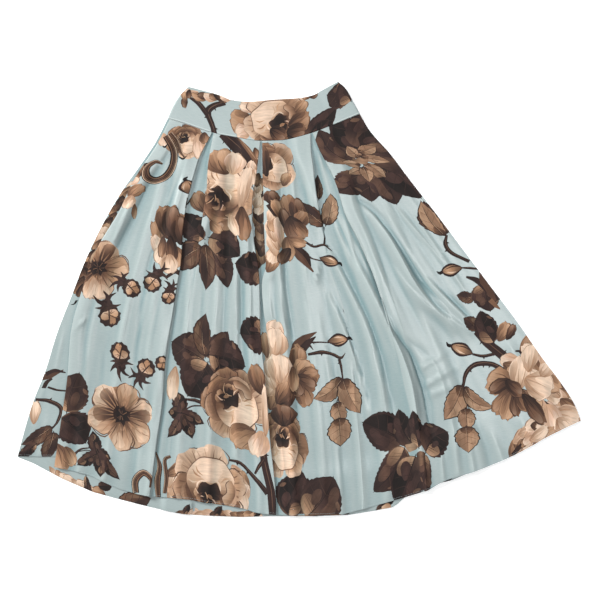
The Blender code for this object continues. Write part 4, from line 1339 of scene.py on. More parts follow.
def bloom(pen, size, rng, petals=6, start=0.0, warm=0.0):
    """An open flower with a dark eye; warm makes it browner."""
    R = size
    order = list(range(petals))
    rng.shuffle(order)
    step = 360.0 / petals
    pen.fill(blob((0, 0), 0.76 * R, 0.76 * R, rng, 0.05, 12),
             around((0, 0), 0.1 * R, 0.8 * R, DARK, UMBER, BROWN, SAND))
    for n, k in enumerate(order):
        a = start + step * k + rng.uniform(-8, 8)
        r1 = R * rng.uniform(0.90, 1.06)
        half = step * rng.uniform(0.60, 0.70)
        line = petal_outline(a, 0.10 * R, r1, half, rng, 0.05, 10, 0.34)
        tone = min(max(rng.random() - warm, 0.0), 1.0)
        mid = mix(mix(SAND, TAN, 0.5), CREAM, tone)
        rim = mix(mix(TAN, CREAM, 0.35), mix(PALE, CREAM, 0.3), tone)
        edge = mix(UMBER, BROWN, 0.4)
        pen.moved(*polar(0.026 * R, a + 70)).fill(line, even(edge))
        pen.fill(line, around((0, 0), 0.14 * R, r1, DARK, BROWN, mix(SAND, mid, 0.6),
                              mid, rim), math.radians(a))
        s = rng.choice((-1, 1))
        lit = [polar(0.50 * r1, a + s * half * 0.15), polar(0.72 * r1, a + s * half * 0.50),
               polar(0.90 * r1, a + s * half * 0.40), polar(0.95 * r1, a),
               polar(0.84 * r1, a - s * half * 0.25), polar(0.66 * r1, a - s * half * 0.12)]
        pen.fill(rounded(lit, 2), around((0, 0), 0.5 * R, R, mid, rim, mix(rim, PALE, 0.4)),
                 math.radians(a))
        # shade running out of the eye: deep in every other petal
        deep = n % 2 == 0
        reach_ = rng.uniform(0.66, 0.84) if deep else rng.uniform(0.36, 0.5)
        d = rng.uniform(-10, 10)
        w = 1.25 if deep else 0.8
        wedge = [polar(0.08 * R, a - 30), polar(0.3 * R, a + d - 24 * w),
                 polar(0.55 * reach_ * R, a + d - 20 * w),
                 polar(reach_ * R, a + d - 12 * w), polar(reach_ * 1.05 * R, a + d),
                 polar(reach_ * 0.93 * R, a + d + 10 * w), polar(0.3 * R, a + d + 20 * w),
                 polar(0.08 * R, a + 30)]
        last = mix(BROWN, mid, 0.35) if deep else mix(SAND, mid, 0.45)
        pen.fill(rounded(wedge, 2), around((0, 0), 0.1 * R, reach_ * 1.02 * R, DARK,
                                           DARK if deep else UMBER,
                                           mix(UMBER, BROWN, 0.25 if deep else 0.8), last),
                 math.radians(a))
        for f in (-0.6, -0.25, 0.15, 0.5):
            pen.stroke([polar(0.26 * R, a + f * half), polar(0.50 * R, a + f * half),
                        polar(rng.uniform(0.66, 0.84) * r1, a + f * half * 1.1)],
                       [0.04 * R, 0.03 * R, 0.006 * R],
                       mix(UMBER, SAND, rng.random()), 2)
        pen.stroke([polar(0.56 * r1, a - s * half * 0.92), polar(0.84 * r1, a - s * half * 0.80),
                    polar(0.97 * r1, a - s * half * 0.45), polar(1.0 * r1, a)],
                   [0.012 * R, 0.04 * R, 0.03 * R, 0.008 * R], edge, 2)
        pen.stroke([polar(0.95 * r1, a + s * half * 0.3), polar(0.80 * r1, a + s * half * 0.22),
                    polar(0.70 * r1, a + s * half * 0.26)],
                   [0.012 * R, 0.025 * R, 0.006 * R], mix(BROWN, SAND, 0.5), 2)
    pts = []
    for k in range(14):
        r = (0.30 if k % 2 else 0.17) * R * rng.uniform(0.85, 1.15)
        pts.append(polar(r, 360 * k / 14))
    pen.fill(rounded(pts, 2), around((0, 0), 0.0, 0.3 * R, HOLLOW, HOLLOW, DARK))
    for k in range(8):
        a = rng.uniform(0, 360)
        pen.stroke([polar(0.03 * R, a), polar(rng.uniform(0.12, 0.22) * R, a + 12)],
                   [0.012 * R, 0.022 * R], (UMBER, BROWN, LEAF_MID)[k % 3], 2)


def ruffles(art, path, width, count, rng, light=0.5, tip=None):
    """Overlapping petals heaped along a path of the frame, the last on top."""
    pts = flowing([at(px, py) for px, py in path], 6)
    run = np.r_[0, np.cumsum(np.hypot(*np.diff(pts, axis=0).T))]
    for k in range(count):
        f = (k + 0.5) / count
        d = f * run[-1]
        x, y = np.interp(d, run, pts[:, 0]), np.interp(d, run, pts[:, 1])
        x2, y2 = np.interp(d + 4, run, pts[:, 0]), np.interp(d + 4, run, pts[:, 1])
        way = math.degrees(math.atan2(y2 - y, x2 - x)) if d + 4 < run[-1] else 0.0
        w = 2.0 * width * rng.uniform(0.9, 1.2)
        turn = (way if tip is None else tip) + rng.uniform(-26, 26)
        if rng.random() < 0.35:
            turn += 180
        long_ = w * rng.uniform(1.35, 1.9)
        level = min(max(light + rng.uniform(-0.42, 0.42), 0.0), 1.0)
        tones = (DUSK_PETAL, BROWN_PETAL, TAN_PETAL, PINK_PETAL, LIGHT_PETAL)[
            min(int(level * 5), 4)]
        pen = art.pen(299 + x / 2, 299 - y / 2, turn)
        petal(pen.moved(-0.5 * long_, rng.uniform(-0.15, 0.15) * w), long_, w,
              tones, rng)


def bud(pen, size, calyx, rng, claws=5, body="rose"):
    """A round bud; calyx is the way, in degrees, to its star of sepals."""
    r = size
    star = polar(1.30 * r, calyx)
    pen.fill(blob(star * 0.92, 0.58 * r, 0.46 * r, rng, 0.1, 8, math.radians(calyx + 90)),
             even(LEAF_DARK))
    for k in range(claws):
        a = calyx - 105 + 210 * k / (claws - 1) + rng.uniform(-8, 8)
        long_ = r * rng.uniform(1.05, 1.45)
        p0 = star * 0.9
        p2 = star + polar(long_, a)
        p1 = 0.5 * (p0 + p2) + polar(0.22 * r, a + rng.choice((-90, 90)))
        pen.stroke([p0, p1, p2], [0.55 * r, 0.34 * r, 0.05 * r],
                   LEAF_DARK if k % 2 else mix(LEAF_DARK, LEAF_PLUM, 0.6), 3)
    pts = []
    for k in range(22):
        pts.append(polar(r * (1.06 if k % 2 else 0.94) * rng.uniform(0.97, 1.03),
                         360 * k / 22))
    pen.fill(pts, around(polar(0.3 * r, calyx), 0, 1.2 * r, UMBER, DARK, LEAF_DARK))
    away = calyx + 180
    pen.fill(blob(polar(0.22 * r, calyx - 55), 0.46 * r, 0.60 * r, rng, 0.08, 8,
                  math.radians(calyx)),
             across(polar(0.6 * r, calyx), polar(0.5 * r, away), PINK, TAN, SAND))
    pen.fill(blob(polar(0.34 * r, calyx + 75), 0.38 * r, 0.50 * r, rng, 0.08, 8,
                  math.radians(calyx + 20)),
             across(polar(0.6 * r, calyx), polar(0.5 * r, away), CREAM, TAN, BROWN))
    pen.fill(blob(polar(0.42 * r, away + 20), 0.34 * r, 0.42 * r, rng, 0.1, 8,
                  math.radians(calyx + 80)), even(SAND))
    pen.stroke([polar(0.75 * r, calyx - 8), polar(0.1 * r, calyx + 20),
                polar(0.78 * r, away - 15)], [0.12 * r, 0.15 * r, 0.05 * r], DARK, 3)
    pen.stroke([polar(0.1 * r, calyx), polar(0.45 * r, away + 60),
                polar(0.85 * r, away + 70)], [0.08 * r, 0.12 * r, 0.04 * r], UMBER, 3)
    for d in (-60, -35, 50):
        pen.stroke([polar(0.25 * r, calyx + d * 0.6), polar(0.62 * r, calyx + d)],
                   [0.1 * r, 0.03 * r], BROWN, 2)
    for k in range(5):
        a = away - 70 + 35 * k
        pen.stroke([polar(0.98 * r, a), polar(0.66 * r, a + 6)], [0.16 * r, 0.04 * r],
                   DARK, 2)


def spire(pen, length, width, rng, tip=0.22):
    """A slim closed bud along the pen's x axis, with its curled tip."""
    def shape(k):
        return [(0, 0.05 * width * k), (0.18 * length, 0.30 * width * k),
                (0.40 * length, 0.50 * width * k), (0.62 * length, 0.42 * width * k),
                (0.80 * length, 0.16 * width * k), (0.80 * length, -0.14 * width * k),
                (0.60 * length, -0.40 * width * k), (0.38 * length, -0.48 * width * k),
                (0.18 * length, -0.32 * width * k), (0, -0.05 * width * k)]
    pen.stroke([(0.76 * length, 0), (0.90 * length, 0.08 * width),
                (1.0 * length, -0.10 * width)],
               [0.22 * width, 0.24 * width, 0.06 * width], LEAF_EDGE, 3)
    pen.fill(rounded(shape(1.0), 2), even(LEAF_DARK))
    pen.fill(rounded([(x * 0.9 + 0.03 * length, y * 0.66) for x, y in shape(1.0)], 2),
             across((0, 0), (0.8 * length, 0), UMBER, TAUPE_DARK, SAND, TAN, BROWN))
    pen.stroke([(0.08 * length, -0.12 * width), (0.35 * length, -0.22 * width),
                (0.66 * length, -0.10 * width)],
               [0.06 * width, 0.10 * width, 0.03 * width], mix(DARK, UMBER, 0.5), 3)
    pen.stroke([(0.25 * length, 0.20 * width), (0.45 * length, 0.22 * width),
                (0.65 * length, 0.10 * width)], [0.05, 0.12 * width, 0.05], CREAM, 2)


# ---------------------------------------------------------------- stems
def stem(art, points, widths, rng, colour=None, thorns=(), gloss=True):
    """A stem through points of the frame; widths in millimetres."""
    colour = LEAF_DARK if colour is None else colour
    mid = points[len(points) // 2]
    pen = art.pen(*mid)
    x0, y0 = at(*mid)
    line = [(at(px, py)[0] - x0, at(px, py)[1] - y0) for px, py in points]
    pen.stroke(line, widths, colour, 4)
    smooth_ = flowing(line, 4)
    for f, side in thorns:
        i = int(f * (len(smooth_) - 2))
        p, way = smooth_[i], smooth_[i + 1] - smooth_[i]
        way = way / np.hypot(*way)
        nrm = np.array([-way[1], way[0]]) * side
        w = float(np.interp(f, np.linspace(0, 1, len(widths)), widths))
        out = 0.5 * w + min(0.6 * w, 4.5)
        pen.fill([p - way * min(w, 6) * 0.6, p + nrm * out + way * min(w, 6) * 0.3,
                  p + way * min(w, 6) * 0.8], even(colour))
    if gloss:
        shift = np.array([0.12, 0.18]) * min(max(widths), 6.0)
        pen.stroke([np.array(p) + shift for p in line],
                   [0.1] + [min(0.18 * w, 1.4) for w in widths[1:-1]] + [0.1],
                   mix(TAUPE_DARK, LEAF_MID, 0.8), 3)


def claw(art, points, widths, colour=None):
    colour = LEAF_DARK if colour is None else colour
    pen = art.pen(*points[0])
    x0, y0 = at(*points[0])
    line = [(at(px, py)[0] - x0, at(px, py)[1] - y0) for px, py in points]
    pen.stroke(line, widths, colour, 4)


def leaf_from(art, base, tip, width, style, rng, bend=0.0, teeth=6):
    pen, length = art.line(base, tip)
    leaf(pen.moved(-length / 2, 0), length, 2.0 * width, style, rng, bend, teeth)


def petal_from(art, base, tip, width, tones, rng, notch=0.06):
    pen, length = art.line(base, tip)
    petal(pen.moved(-length / 2, 0), length, 2.0 * width, tones, rng, notch)


def spire_from(art, base, tip, width, rng):
    pen, length = art.line(base, tip)
    spire(pen.moved(-length / 2, 0), length, 2.0 * width, rng)


def patch_of(art, centre, rx, ry, angle, paint_stops, rng, wobble=0.1):
    pen = art.pen(*centre, angle)
    pen.fill(blob((0, 0), 2 * rx, 2 * ry, rng, wobble, 10),
             across((-2 * rx, 0), (2 * rx, 0), *paint_stops))


LIGHT_PETAL = (SAND, CREAM, PALE)
PINK_PETAL = (TAN, PINK, PALE)
TAN_PETAL = (UMBER, SAND, TAN)
BROWN_PETAL = (DARK, BROWN, SAND)
DUSK_PETAL = (HOLLOW, UMBER, BROWN)


# =====================================================================
# Where the print lies on the front, in the 600 x 600 frame
# =====================================================================
# base px, py, tip px, py, width, style, bend
FRONT_LEAVES = (
    # spray under the first rose
    (206, 243, 184, 209, 24, "dark", 0.05),
    (206, 246, 172, 272, 26, "umber", -0.08),
    (208, 247, 231, 286, 22, "plum", 0.08),
    (209, 240, 240, 254, 30, "dark", 0.12),
    (206, 244, 206, 291, 17, "umber", 0.04),
    # loose leaves beside the centre pleat
    (266, 270, 235, 267, 33, "dark", 0.0),
    (266, 331, 240, 337, 33, "dark", 0.04),
    # pair on the right of the half-open flower
    (325, 226, 301, 201, 17, "umber", 0.08),
    (326, 227, 333, 192, 17, "taupe", -0.04),
    (321, 203, 317, 171, 7, "umber", 0.0),
    # spray at the top right
    (350, 137, 330, 126, 20, "dark", 0.0),
    (349, 163, 316, 134, 24, "plum", 0.10),
    (360, 152, 338, 114, 30, "dark", 0.05),
    (362, 154, 374, 106, 40, "dark", -0.05),
    (366, 156, 394, 124, 38, "dark", -0.05),
    (368, 160, 404, 152, 28, "plum", 0.08),
    (352, 164, 342, 201, 24, "plum", 0.10),
    (359, 166, 361, 199, 17, "dark", 0.0),
    (364, 165, 378, 203, 27, "plum", -0.05),
    (371, 165, 399, 204, 30, "plum", 0.05),
    (378, 164, 419, 198, 33, "dark", 0.08),
    (359, 158, 346, 147, 12, "taupe", 0.0),
    (358, 162, 344, 166, 10, "taupe", 0.0),
    (362, 157, 373, 143, 13, "taupe", 0.0),
    (364, 161, 386, 158, 12, "taupe", 0.0),
    (360, 164, 352, 179, 10, "taupe", 0.0),
    (363, 165, 371, 184, 11, "taupe", 0.0),
    (366, 164, 386, 176, 10, "taupe", 0.0),
    # down the right side
    (446, 235, 423, 200, 20, "umber", 0.12),
    (445, 236, 420, 200, 17, "taupe", 0.10),
    (474, 299, 456, 296, 13, "umber", 0.0),
    (483, 283, 489, 312, 25, "plum", 0.0),
    (480, 329, 463, 317, 14, "umber", 0.0),
    (494, 342, 479, 311, 22, "dark", 0.06),
    (528, 396, 546, 424, 19, "dark", 0.0),
    # three leaves under the arch
    (462, 386, 444, 420, 21, "taupe", 0.06),
    (463, 386, 495, 409, 15, "taupe", -0.16),
    # spray at the hem
    (402, 443, 361, 423, 34, "dark", -0.05),
    (414, 446, 396, 410, 20, "dark", 0.08),
    (418, 446, 412, 411, 16, "dark", 0.0),
    (424, 449, 447, 431, 33, "dark", 0.12),
    (405, 449, 373, 489, 28, "plum", 0.08),
    (416, 458, 398, 503, 33, "dark", 0.0),
    (424, 456, 426, 493, 13, "plum", 0.0),
    # over the second rose
    (204, 358, 172, 341, 36, "plum", 0.0),
    (206, 358, 228, 330, 20, "plum", -0.06),
    (205, 357, 208, 313, 19, "umber", 0.10),
    (209, 357, 246, 362, 36, "dark", 0.05),
    (208, 361, 186, 396, 37, "dark", 0.05),
    # three leaves right of the centre
    (342, 379, 313, 399, 18, "taupe", 0.10),
    (343, 379, 361, 413, 21, "taupe", -0.06),
    # at the hem, right of the centre
    (298, 512, 309, 478, 22, "dark", 0.0),
    (289, 514, 301, 470, 28, "dark", 0.06),
    (307, 516, 335, 477, 38, "plum", -0.06),
    # at the left side
    (67, 412, 79, 372, 34, "plum", 0.04),
    (61, 418, 86, 443, 34, "dark", 0.06),
    (52, 430, 22, 441, 17, "umber", 0.06),
    (54, 432, 46, 462, 17, "umber", 0.0),
    (36, 446, 18, 456, 13, "dark", 0.0),
)
# where the leaves of a spray meet: centre, half sizes in px, tones
FRONT_HEARTS = (
    ((361, 161), 5, 4, (TAUPE_DARK, TAUPE, TAUPE_DARK)),
    ((411, 447), 6, 4, (TAUPE, TAUPE_LIGHT, TAUPE_DARK)),
    ((421, 458), 5, 7, (LEAF_DARK, TAUPE_DARK, LEAF_DARK)),
    ((513, 386), 7, 6, (DARK, HOLLOW, DARK)),
)
# the second of each pair of lobes is drawn over the first
LOBES = (
    ((465, 408), (467, 431), 19, (466, 426), (468, 452), 26),
    ((337, 402), (341, 424), 17, (339, 418), (341, 446), 25),
)
# node, then tips and widths
SMALL_SPRAYS = (
    ((97, 453), ((92, 431, 14), (112, 456, 13), (121, 477, 12), (101, 476, 15),
                 (78, 466, 13))),
    ((182, 413), ((175, 391, 15), (168, 412, 13), (168, 438, 13), (191, 439, 14),
                  (205, 422, 13))),
)
# centre px, py, radius px, light, wide, tall, outer petals, seed, warmth
FRONT_ROSES = (
    (221, 192, 38, 62, 0.95, 1.08, 5, 11, 0.05),
    (270, 167, 26, -20, 0.95, 1.0, 5, 12, 0.25),
    (234, 403, 38, -42, 0.97, 1.0, 6, 14, 0.12),
    (283, 444, 34, -80, 0.72, 1.05, 6, 15, 0.40),
    (210, 486, 40, 84, 1.0, 1.0, 6, 16, 0.12),
    (186, 141, 19, -60, 1.0, 1.0, 5, 18, 0.30),
)
# centre px, py, radius px, petals, start, seed, warmth
FRONT_BLOOMS = (
    (122, 415, 35, 6, 20, 21, 0.10),
    (99, 268, 31, 5, 60, 22, 0.18),
)
# path, width px, count, lightness, way
FRONT_RUFFLES = (
    # the ribbon of the centre pleat, and the petals beside it
    (((259, 264), (259, 240), (260, 215), (259, 182)), 11, 14, 0.30, None),
    (((252, 166), (256, 188), (256, 206)), 10, 5, 0.75, None),
    (((258, 192), (257, 172), (257, 150)), 7, 7, 0.55, None),
    (((272, 266), (272, 245), (272, 212)), 12, 7, 0.85, 92),
    # the strip down the left of the side pleat
    (((146, 164), (134, 182), (120, 203), (108, 224), (96, 247)), 8, 16, 0.35, None),
    (((92, 252), (84, 272), (78, 290)), 8, 6, 0.45, None),
    # the column beside the second rose
    (((272, 398), (272, 372), (274, 346), (276, 330)), 16, 8, 0.80, 84),
    (((282, 404), (283, 390)), 16, 4, 0.22, 70),
    # the corner at the right
    (((578, 424), (566, 402), (552, 384), (539, 364), (531, 350)), 20, 13, 0.62, None),
    (((566, 418), (560, 402), (548, 386), (536, 366), (528, 350)), 17, 12, 0.62, None),
    (((562, 424), (546, 414), (532, 402), (520, 396)), 15, 10, 0.42, None),
    (((508, 362), (518, 368), (530, 378)), 14, 5, 0.80, None),
    (((514, 450), (522, 436), (534, 426), (546, 424)), 12, 9, 0.66, None),
    (((520, 456), (532, 446), (546, 440)), 11, 7, 0.80, None),
    (((518, 446), (530, 438)), 8, 3, 0.20, None),
    (((534, 450), (548, 442), (562, 435)), 12, 7, 0.72, None),
    # round the lowest rose
    (((176, 500), (172, 480), (184, 462)), 12, 6, 0.5, None),
    (((236, 470), (243, 486), (242, 502)), 13, 6, 0.65, None),
)
# base, tip, width, tones
FRONT_PETALS = (
    # crown and sides of the first rose
    ((226, 176), (220, 149), 34, TAN_PETAL), ((232, 176), (236, 152), 22, PINK_PETAL),
    ((240, 212), (250, 164), 14, LIGHT_PETAL), ((242, 206), (244, 242), 17, BROWN_PETAL),
    ((230, 214), (238, 236), 11, LIGHT_PETAL), ((205, 216), (197, 188), 15, BROWN_PETAL),
    ((210, 222), (222, 232), 12, TAN_PETAL),
    # the second rose's leaf-like back petals
    ((266, 178), (262, 146), 14, DUSK_PETAL), ((276, 206), (270, 191), 18, DUSK_PETAL),
    ((283, 188), (289, 172), 10, TAN_PETAL),
    # the petals at the half-open flower
    ((286, 224), (273, 200), 14, TAN_PETAL), ((283, 250), (276, 216), 10, PINK_PETAL),
    ((292, 220), (286, 194), 18, BROWN_PETAL), ((299, 224), (295, 197), 17, DUSK_PETAL),
    ((288, 232), (282, 208), 12, DUSK_PETAL), ((293, 230), (305, 210), 16, BROWN_PETAL),
    ((290, 216), (300, 242), 22, DUSK_PETAL), ((293, 222), (306, 238), 14, BROWN_PETAL),
    ((288, 240), (306, 244), 12, TAN_PETAL), ((286, 236), (288, 262), 13, TAN_PETAL),
    ((290, 246), (280, 266), 11, DUSK_PETAL),
    # right of the left-hand rose
    ((164, 248), (153, 222), 13, TAN_PETAL), ((166, 262), (153, 236), 14, PINK_PETAL),
    ((177, 246), (180, 268), 16, TAN_PETAL), ((166, 246), (158, 264), 15, LIGHT_PETAL),
    ((180, 244), (184, 212), 18, BROWN_PETAL), ((166, 240), (163, 204), 19, BROWN_PETAL),
    ((173, 244), (171, 203), 20, DUSK_PETAL), ((179, 246), (178, 214), 15, DUSK_PETAL),
    ((171, 236), (173, 264), 13, DUSK_PETAL), ((164, 236), (161, 258), 9, BROWN_PETAL),
    ((170, 254), (171, 274), 19, LIGHT_PETAL),
    # side pleat flower
    ((129, 197), (143, 186), 15, TAN_PETAL), ((133, 195), (126, 209), 13, LIGHT_PETAL),
    ((135, 203), (134, 220), 5, TAN_PETAL),
    # under the band at the left
    ((164, 133), (163, 147), 10, PINK_PETAL), ((198, 134), (200, 160), 14, PINK_PETAL),
    ((204, 132), (206, 144), 10, BROWN_PETAL),
    # leaning on the side bloom
    ((94, 276), (88, 299), 15, LIGHT_PETAL), ((84, 282), (80, 297), 8, DUSK_PETAL),
    # under the second rose, and beside it
    ((256, 428), (232, 446), 28, TAN_PETAL), ((262, 430), (254, 456), 22, PINK_PETAL),
    ((262, 394), (254, 364), 18, BROWN_PETAL), ((266, 436), (266, 384), 10, LIGHT_PETAL),
    ((274, 358), (275, 327), 24, LIGHT_PETAL), ((267, 358), (264, 332), 10, TAN_PETAL),
    ((280, 384), (277, 354), 30, LIGHT_PETAL), ((284, 426), (282, 404), 28, DUSK_PETAL),
    # flower right of the centre
    ((298, 372), (300, 346), 18, BROWN_PETAL), ((296, 380), (312, 362), 22, TAN_PETAL),
    ((298, 378), (319, 372), 18, BROWN_PETAL), ((294, 378), (316, 386), 20, DUSK_PETAL),
    ((298, 384), (307, 406), 20, BROWN_PETAL), ((292, 378), (300, 396), 16, DUSK_PETAL),
    ((293, 366), (294, 392), 11, TAN_PETAL),
    # small petals
    ((176, 366), (172, 400), 13, LIGHT_PETAL), ((34, 425), (36, 400), 11, LIGHT_PETAL),
    ((56, 442), (62, 474), 21, TAN_PETAL), ((66, 446), (74, 466), 13, TAN_PETAL),
    # the brown flower under the arch
    ((520, 382), (506, 368), 16, TAN_PETAL), ((514, 386), (485, 380), 27, TAN_PETAL),
    ((512, 382), (488, 390), 15, DUSK_PETAL), ((512, 390), (493, 412), 19, BROWN_PETAL),
    ((513, 391), (504, 419), 19, TAN_PETAL), ((516, 392), (516, 416), 12, DUSK_PETAL),
    ((517, 390), (530, 410), 15, BROWN_PETAL),
    # corner at the right
    ((498, 341), (508, 322), 15, TAN_PETAL), ((506, 340), (514, 324), 9, DUSK_PETAL),
    ((518, 390), (522, 356), 22, LIGHT_PETAL), ((528, 372), (532, 344), 18, LIGHT_PETAL),
    ((524, 378), (552, 392), 30, LIGHT_PETAL), ((540, 376), (552, 364), 16, LIGHT_PETAL),
    ((560, 398), (577, 418), 16, TAN_PETAL), ((558, 416), (586, 432), 22, TAN_PETAL),
    ((552, 412), (580, 421), 24, LIGHT_PETAL), ((546, 404), (556, 430), 20, PINK_PETAL),
    ((556, 418), (570, 434), 18, LIGHT_PETAL), ((522, 393), (545, 424), 15, DUSK_PETAL),
    ((530, 446), (556, 431), 16, TAN_PETAL), ((528, 438), (549, 430), 13, LIGHT_PETAL),
    ((505, 380), (522, 396), 13, DUSK_PETAL),
)
# centre px, py, radius px, way to its sepals, seed
FRONT_BUDS = (
    (110, 316, 11, 104, 31), (132, 288, 9.5, 148, 32), (152.5, 283, 9.5, 62, 33),
    (120.5, 353, 10.5, 270, 34), (146.5, 368, 9.5, 240, 35), (163, 363, 7.5, 20, 36),
    (169, 297, 7.5, 75, 37),
)
# base, tip, width
FRONT_SPIRES = (
    ((320, 259), (342, 264), 13), ((462, 267), (437, 273), 14),
    ((473, 354), (446, 343), 14), ((328, 342), (352, 338), 14),
    ((188, 196), (187, 176), 16),
)
# points, widths, thorns
FRONT_STEMS = (
    (((304, 243), (314, 248), (324, 245), (332, 251)), (5, 5, 5, 1), ((0.3, 1),)),
    (((324, 245), (325, 235), (326, 226)), (4, 3, 2), ()),
    (((306, 256), (313, 259), (321, 260)), (4, 3, 2.5), ((0.3, 1),)),
    (((188, 197), (187, 203), (186, 209)), (2.5, 3, 3), ()),
    (((187, 205), (192, 199), (198, 201)), (2, 7, 5), ()),
    (((444, 234), (445, 245), (453, 254), (468, 258)), (4, 8, 9, 7), ((0.3, 1), (0.6, -1))),
    (((461, 268), (470, 268), (479, 269)), (3, 5, 4), ()),
    (((476, 330), (485, 341), (496, 350), (506, 360), (507, 374)),
     (12, 15, 18, 18, 14), ((0.12, 1), (0.25, -1), (0.42, 1), (0.55, -1), (0.7, 1), (0.8, -1))),
    (((472, 353), (483, 356), (497, 355)), (4, 6, 6), ((0.6, -1),)),
    (((511, 380), (500, 370), (488, 365), (474, 365), (465, 373), (462, 388)),
     (9, 9, 9, 10, 9, 4), ((0.4, 1), (0.5, 1), (0.75, 1))),
    (((464, 398), (468, 406), (470, 411)), (2, 2, 2), ()),
    (((311, 343), (320, 342), (329, 342)), (4, 3, 2.5), ((0.2, -1),)),
    (((308, 355), (321, 352), (332, 354), (341, 358), (345.5, 353)),
     (5, 8, 6, 6, 1), ((0.3, -1),)),
    (((339, 359), (341, 366), (343, 380)), (6, 5, 2.5), ((0.4, -1),)),
    (((341, 392), (338, 398), (336, 404)), (2, 2, 2), ()),
    (((264, 437), (265, 462), (271, 490), (274, 516)), (12, 15, 16, 15), ((0.3, 1),)),
    (((228, 467), (240, 468), (256, 479), (268, 491)), (4, 7, 9, 11),
     ((0.35, -1), (0.62, -1))),
    (((255, 474), (259, 466), (265, 457)), (4, 7, 8), ()),
    (((222, 134), (232, 142), (243, 152), (254, 166), (262, 178)),
     (18, 27, 31, 27, 17), ((0.18, -1), (0.36, -1), (0.55, -1), (0.8, 1))),
    (((240, 150), (243, 162), (248, 174)), (22, 18, 5), ((0.6, -1),)),
    (((232, 136), (243, 148), (252, 160), (260, 176)), (4, 11, 12, 6), ()),
    (((38, 392), (50, 397), (61, 408), (58, 421), (52, 428)), (6, 8, 8, 6, 3),
     ((0.3, 1),)),
    (((49, 384), (57, 390), (66, 394)), (4, 4, 3), ()),
    (((73, 456), (81, 449), (91, 447)), (6, 4, 2), ()),
    (((78, 452), (88, 450), (98, 453)), (2, 2, 2), ()),
    (((183, 412), (192, 406), (204, 404)), (3, 3, 3), ()),
    (((184, 400), (195, 400), (204, 402)), (4, 7, 8), ()),
)
# points, widths, colour: long sepals
FRONT_CLAWS = (
    (((292, 244), (300, 257), (312, 271)), (20, 17, 3), UMBER),
    (((296, 246), (306, 255), (310, 266)), (10, 12, 2), LEAF_DARK),
    (((293, 250), (291, 258), (285, 265)), (6, 4, 1), LEAF_DARK),
    (((238, 138), (248, 149), (256, 161), (261, 173)), (2, 9, 9, 2), BROWN),
    (((241, 140), (250, 151), (256, 159)), (1, 3, 1), TAUPE),
    (((291, 362), (298, 346), (306, 336), (318, 329)), (14, 22, 14, 2), UMBER),
    (((300, 352), (308, 341), (316, 334)), (16, 12, 2), LEAF_DARK),
    (((303, 350), (309, 344), (313, 348)), (8, 6, 1), LEAF_DARK),
    (((300, 366), (300, 352), (297, 344)), (10, 16, 8), SAND),
    (((268, 205), (280, 220), (288, 236)), (10, 12, 4), DARK),
    (((466, 277), (476, 280), (487, 290)), (4, 12, 16), LEAF_DARK),
    (((480, 272), (484, 282), (494, 302)), (5, 18, 8), UMBER),
    (((490, 300), (496, 306), (500, 309)), (10, 8, 2), BROWN),
    (((43, 377), (50, 378), (62, 376)), (14, 13, 2), UMBER),
    (((46, 374), (54, 373), (64, 379)), (10, 8, 2), LEAF_DARK),
    (((44, 388), (47, 382), (52, 380)), (8, 9, 4), DARK),
    (((515, 351), (520, 352), (526, 362)), (3, 5, 4), LEAF_DARK),
    (((163, 146), (165, 148), (168, 145)), (2, 4, 1), LEAF_EDGE),
    (((179, 157), (183, 160), (187, 157)), (2, 5, 1), LEAF_EDGE),
    (((77, 300), (75, 303), (72, 302)), (5, 4, 1), LEAF_EDGE),
    (((166, 278), (175, 272), (181, 276)), (6, 10, 8), DARK),
    (((512, 455), (518, 450), (522, 446)), (8, 10, 3), DARK),
)


def scroll(art, points, widths, rng):
    """An ornamental scroll: dark, with paler streaks that follow it."""
    pen = art.pen(*points[len(points) // 2])
    x0, y0 = at(*points[len(points) // 2])
    line = [(at(px, py)[0] - x0, at(px, py)[1] - y0) for px, py in points]
    pen.stroke(line, widths, LEAF_EDGE, 5)
    fine = flowing(line, 3)
    way = np.gradient(fine, axis=0)
    way /= np.maximum(np.linalg.norm(way, axis=1), 1e-9)[:, None]
    nrm = np.c_[-way[:, 1], way[:, 0]]
    w = np.interp(np.linspace(0, 1, len(fine)), np.linspace(0, 1, len(widths)), widths)
    for off, tone, wide in ((0.24, TAUPE_DARK, 0.22), (-0.02, UMBER, 0.16),
                            (-0.26, BROWN, 0.16), (0.38, CREAM, 0.07)):
        pen.stroke(fine + nrm * (off * w)[:, None], list(wide * w), tone, 1)


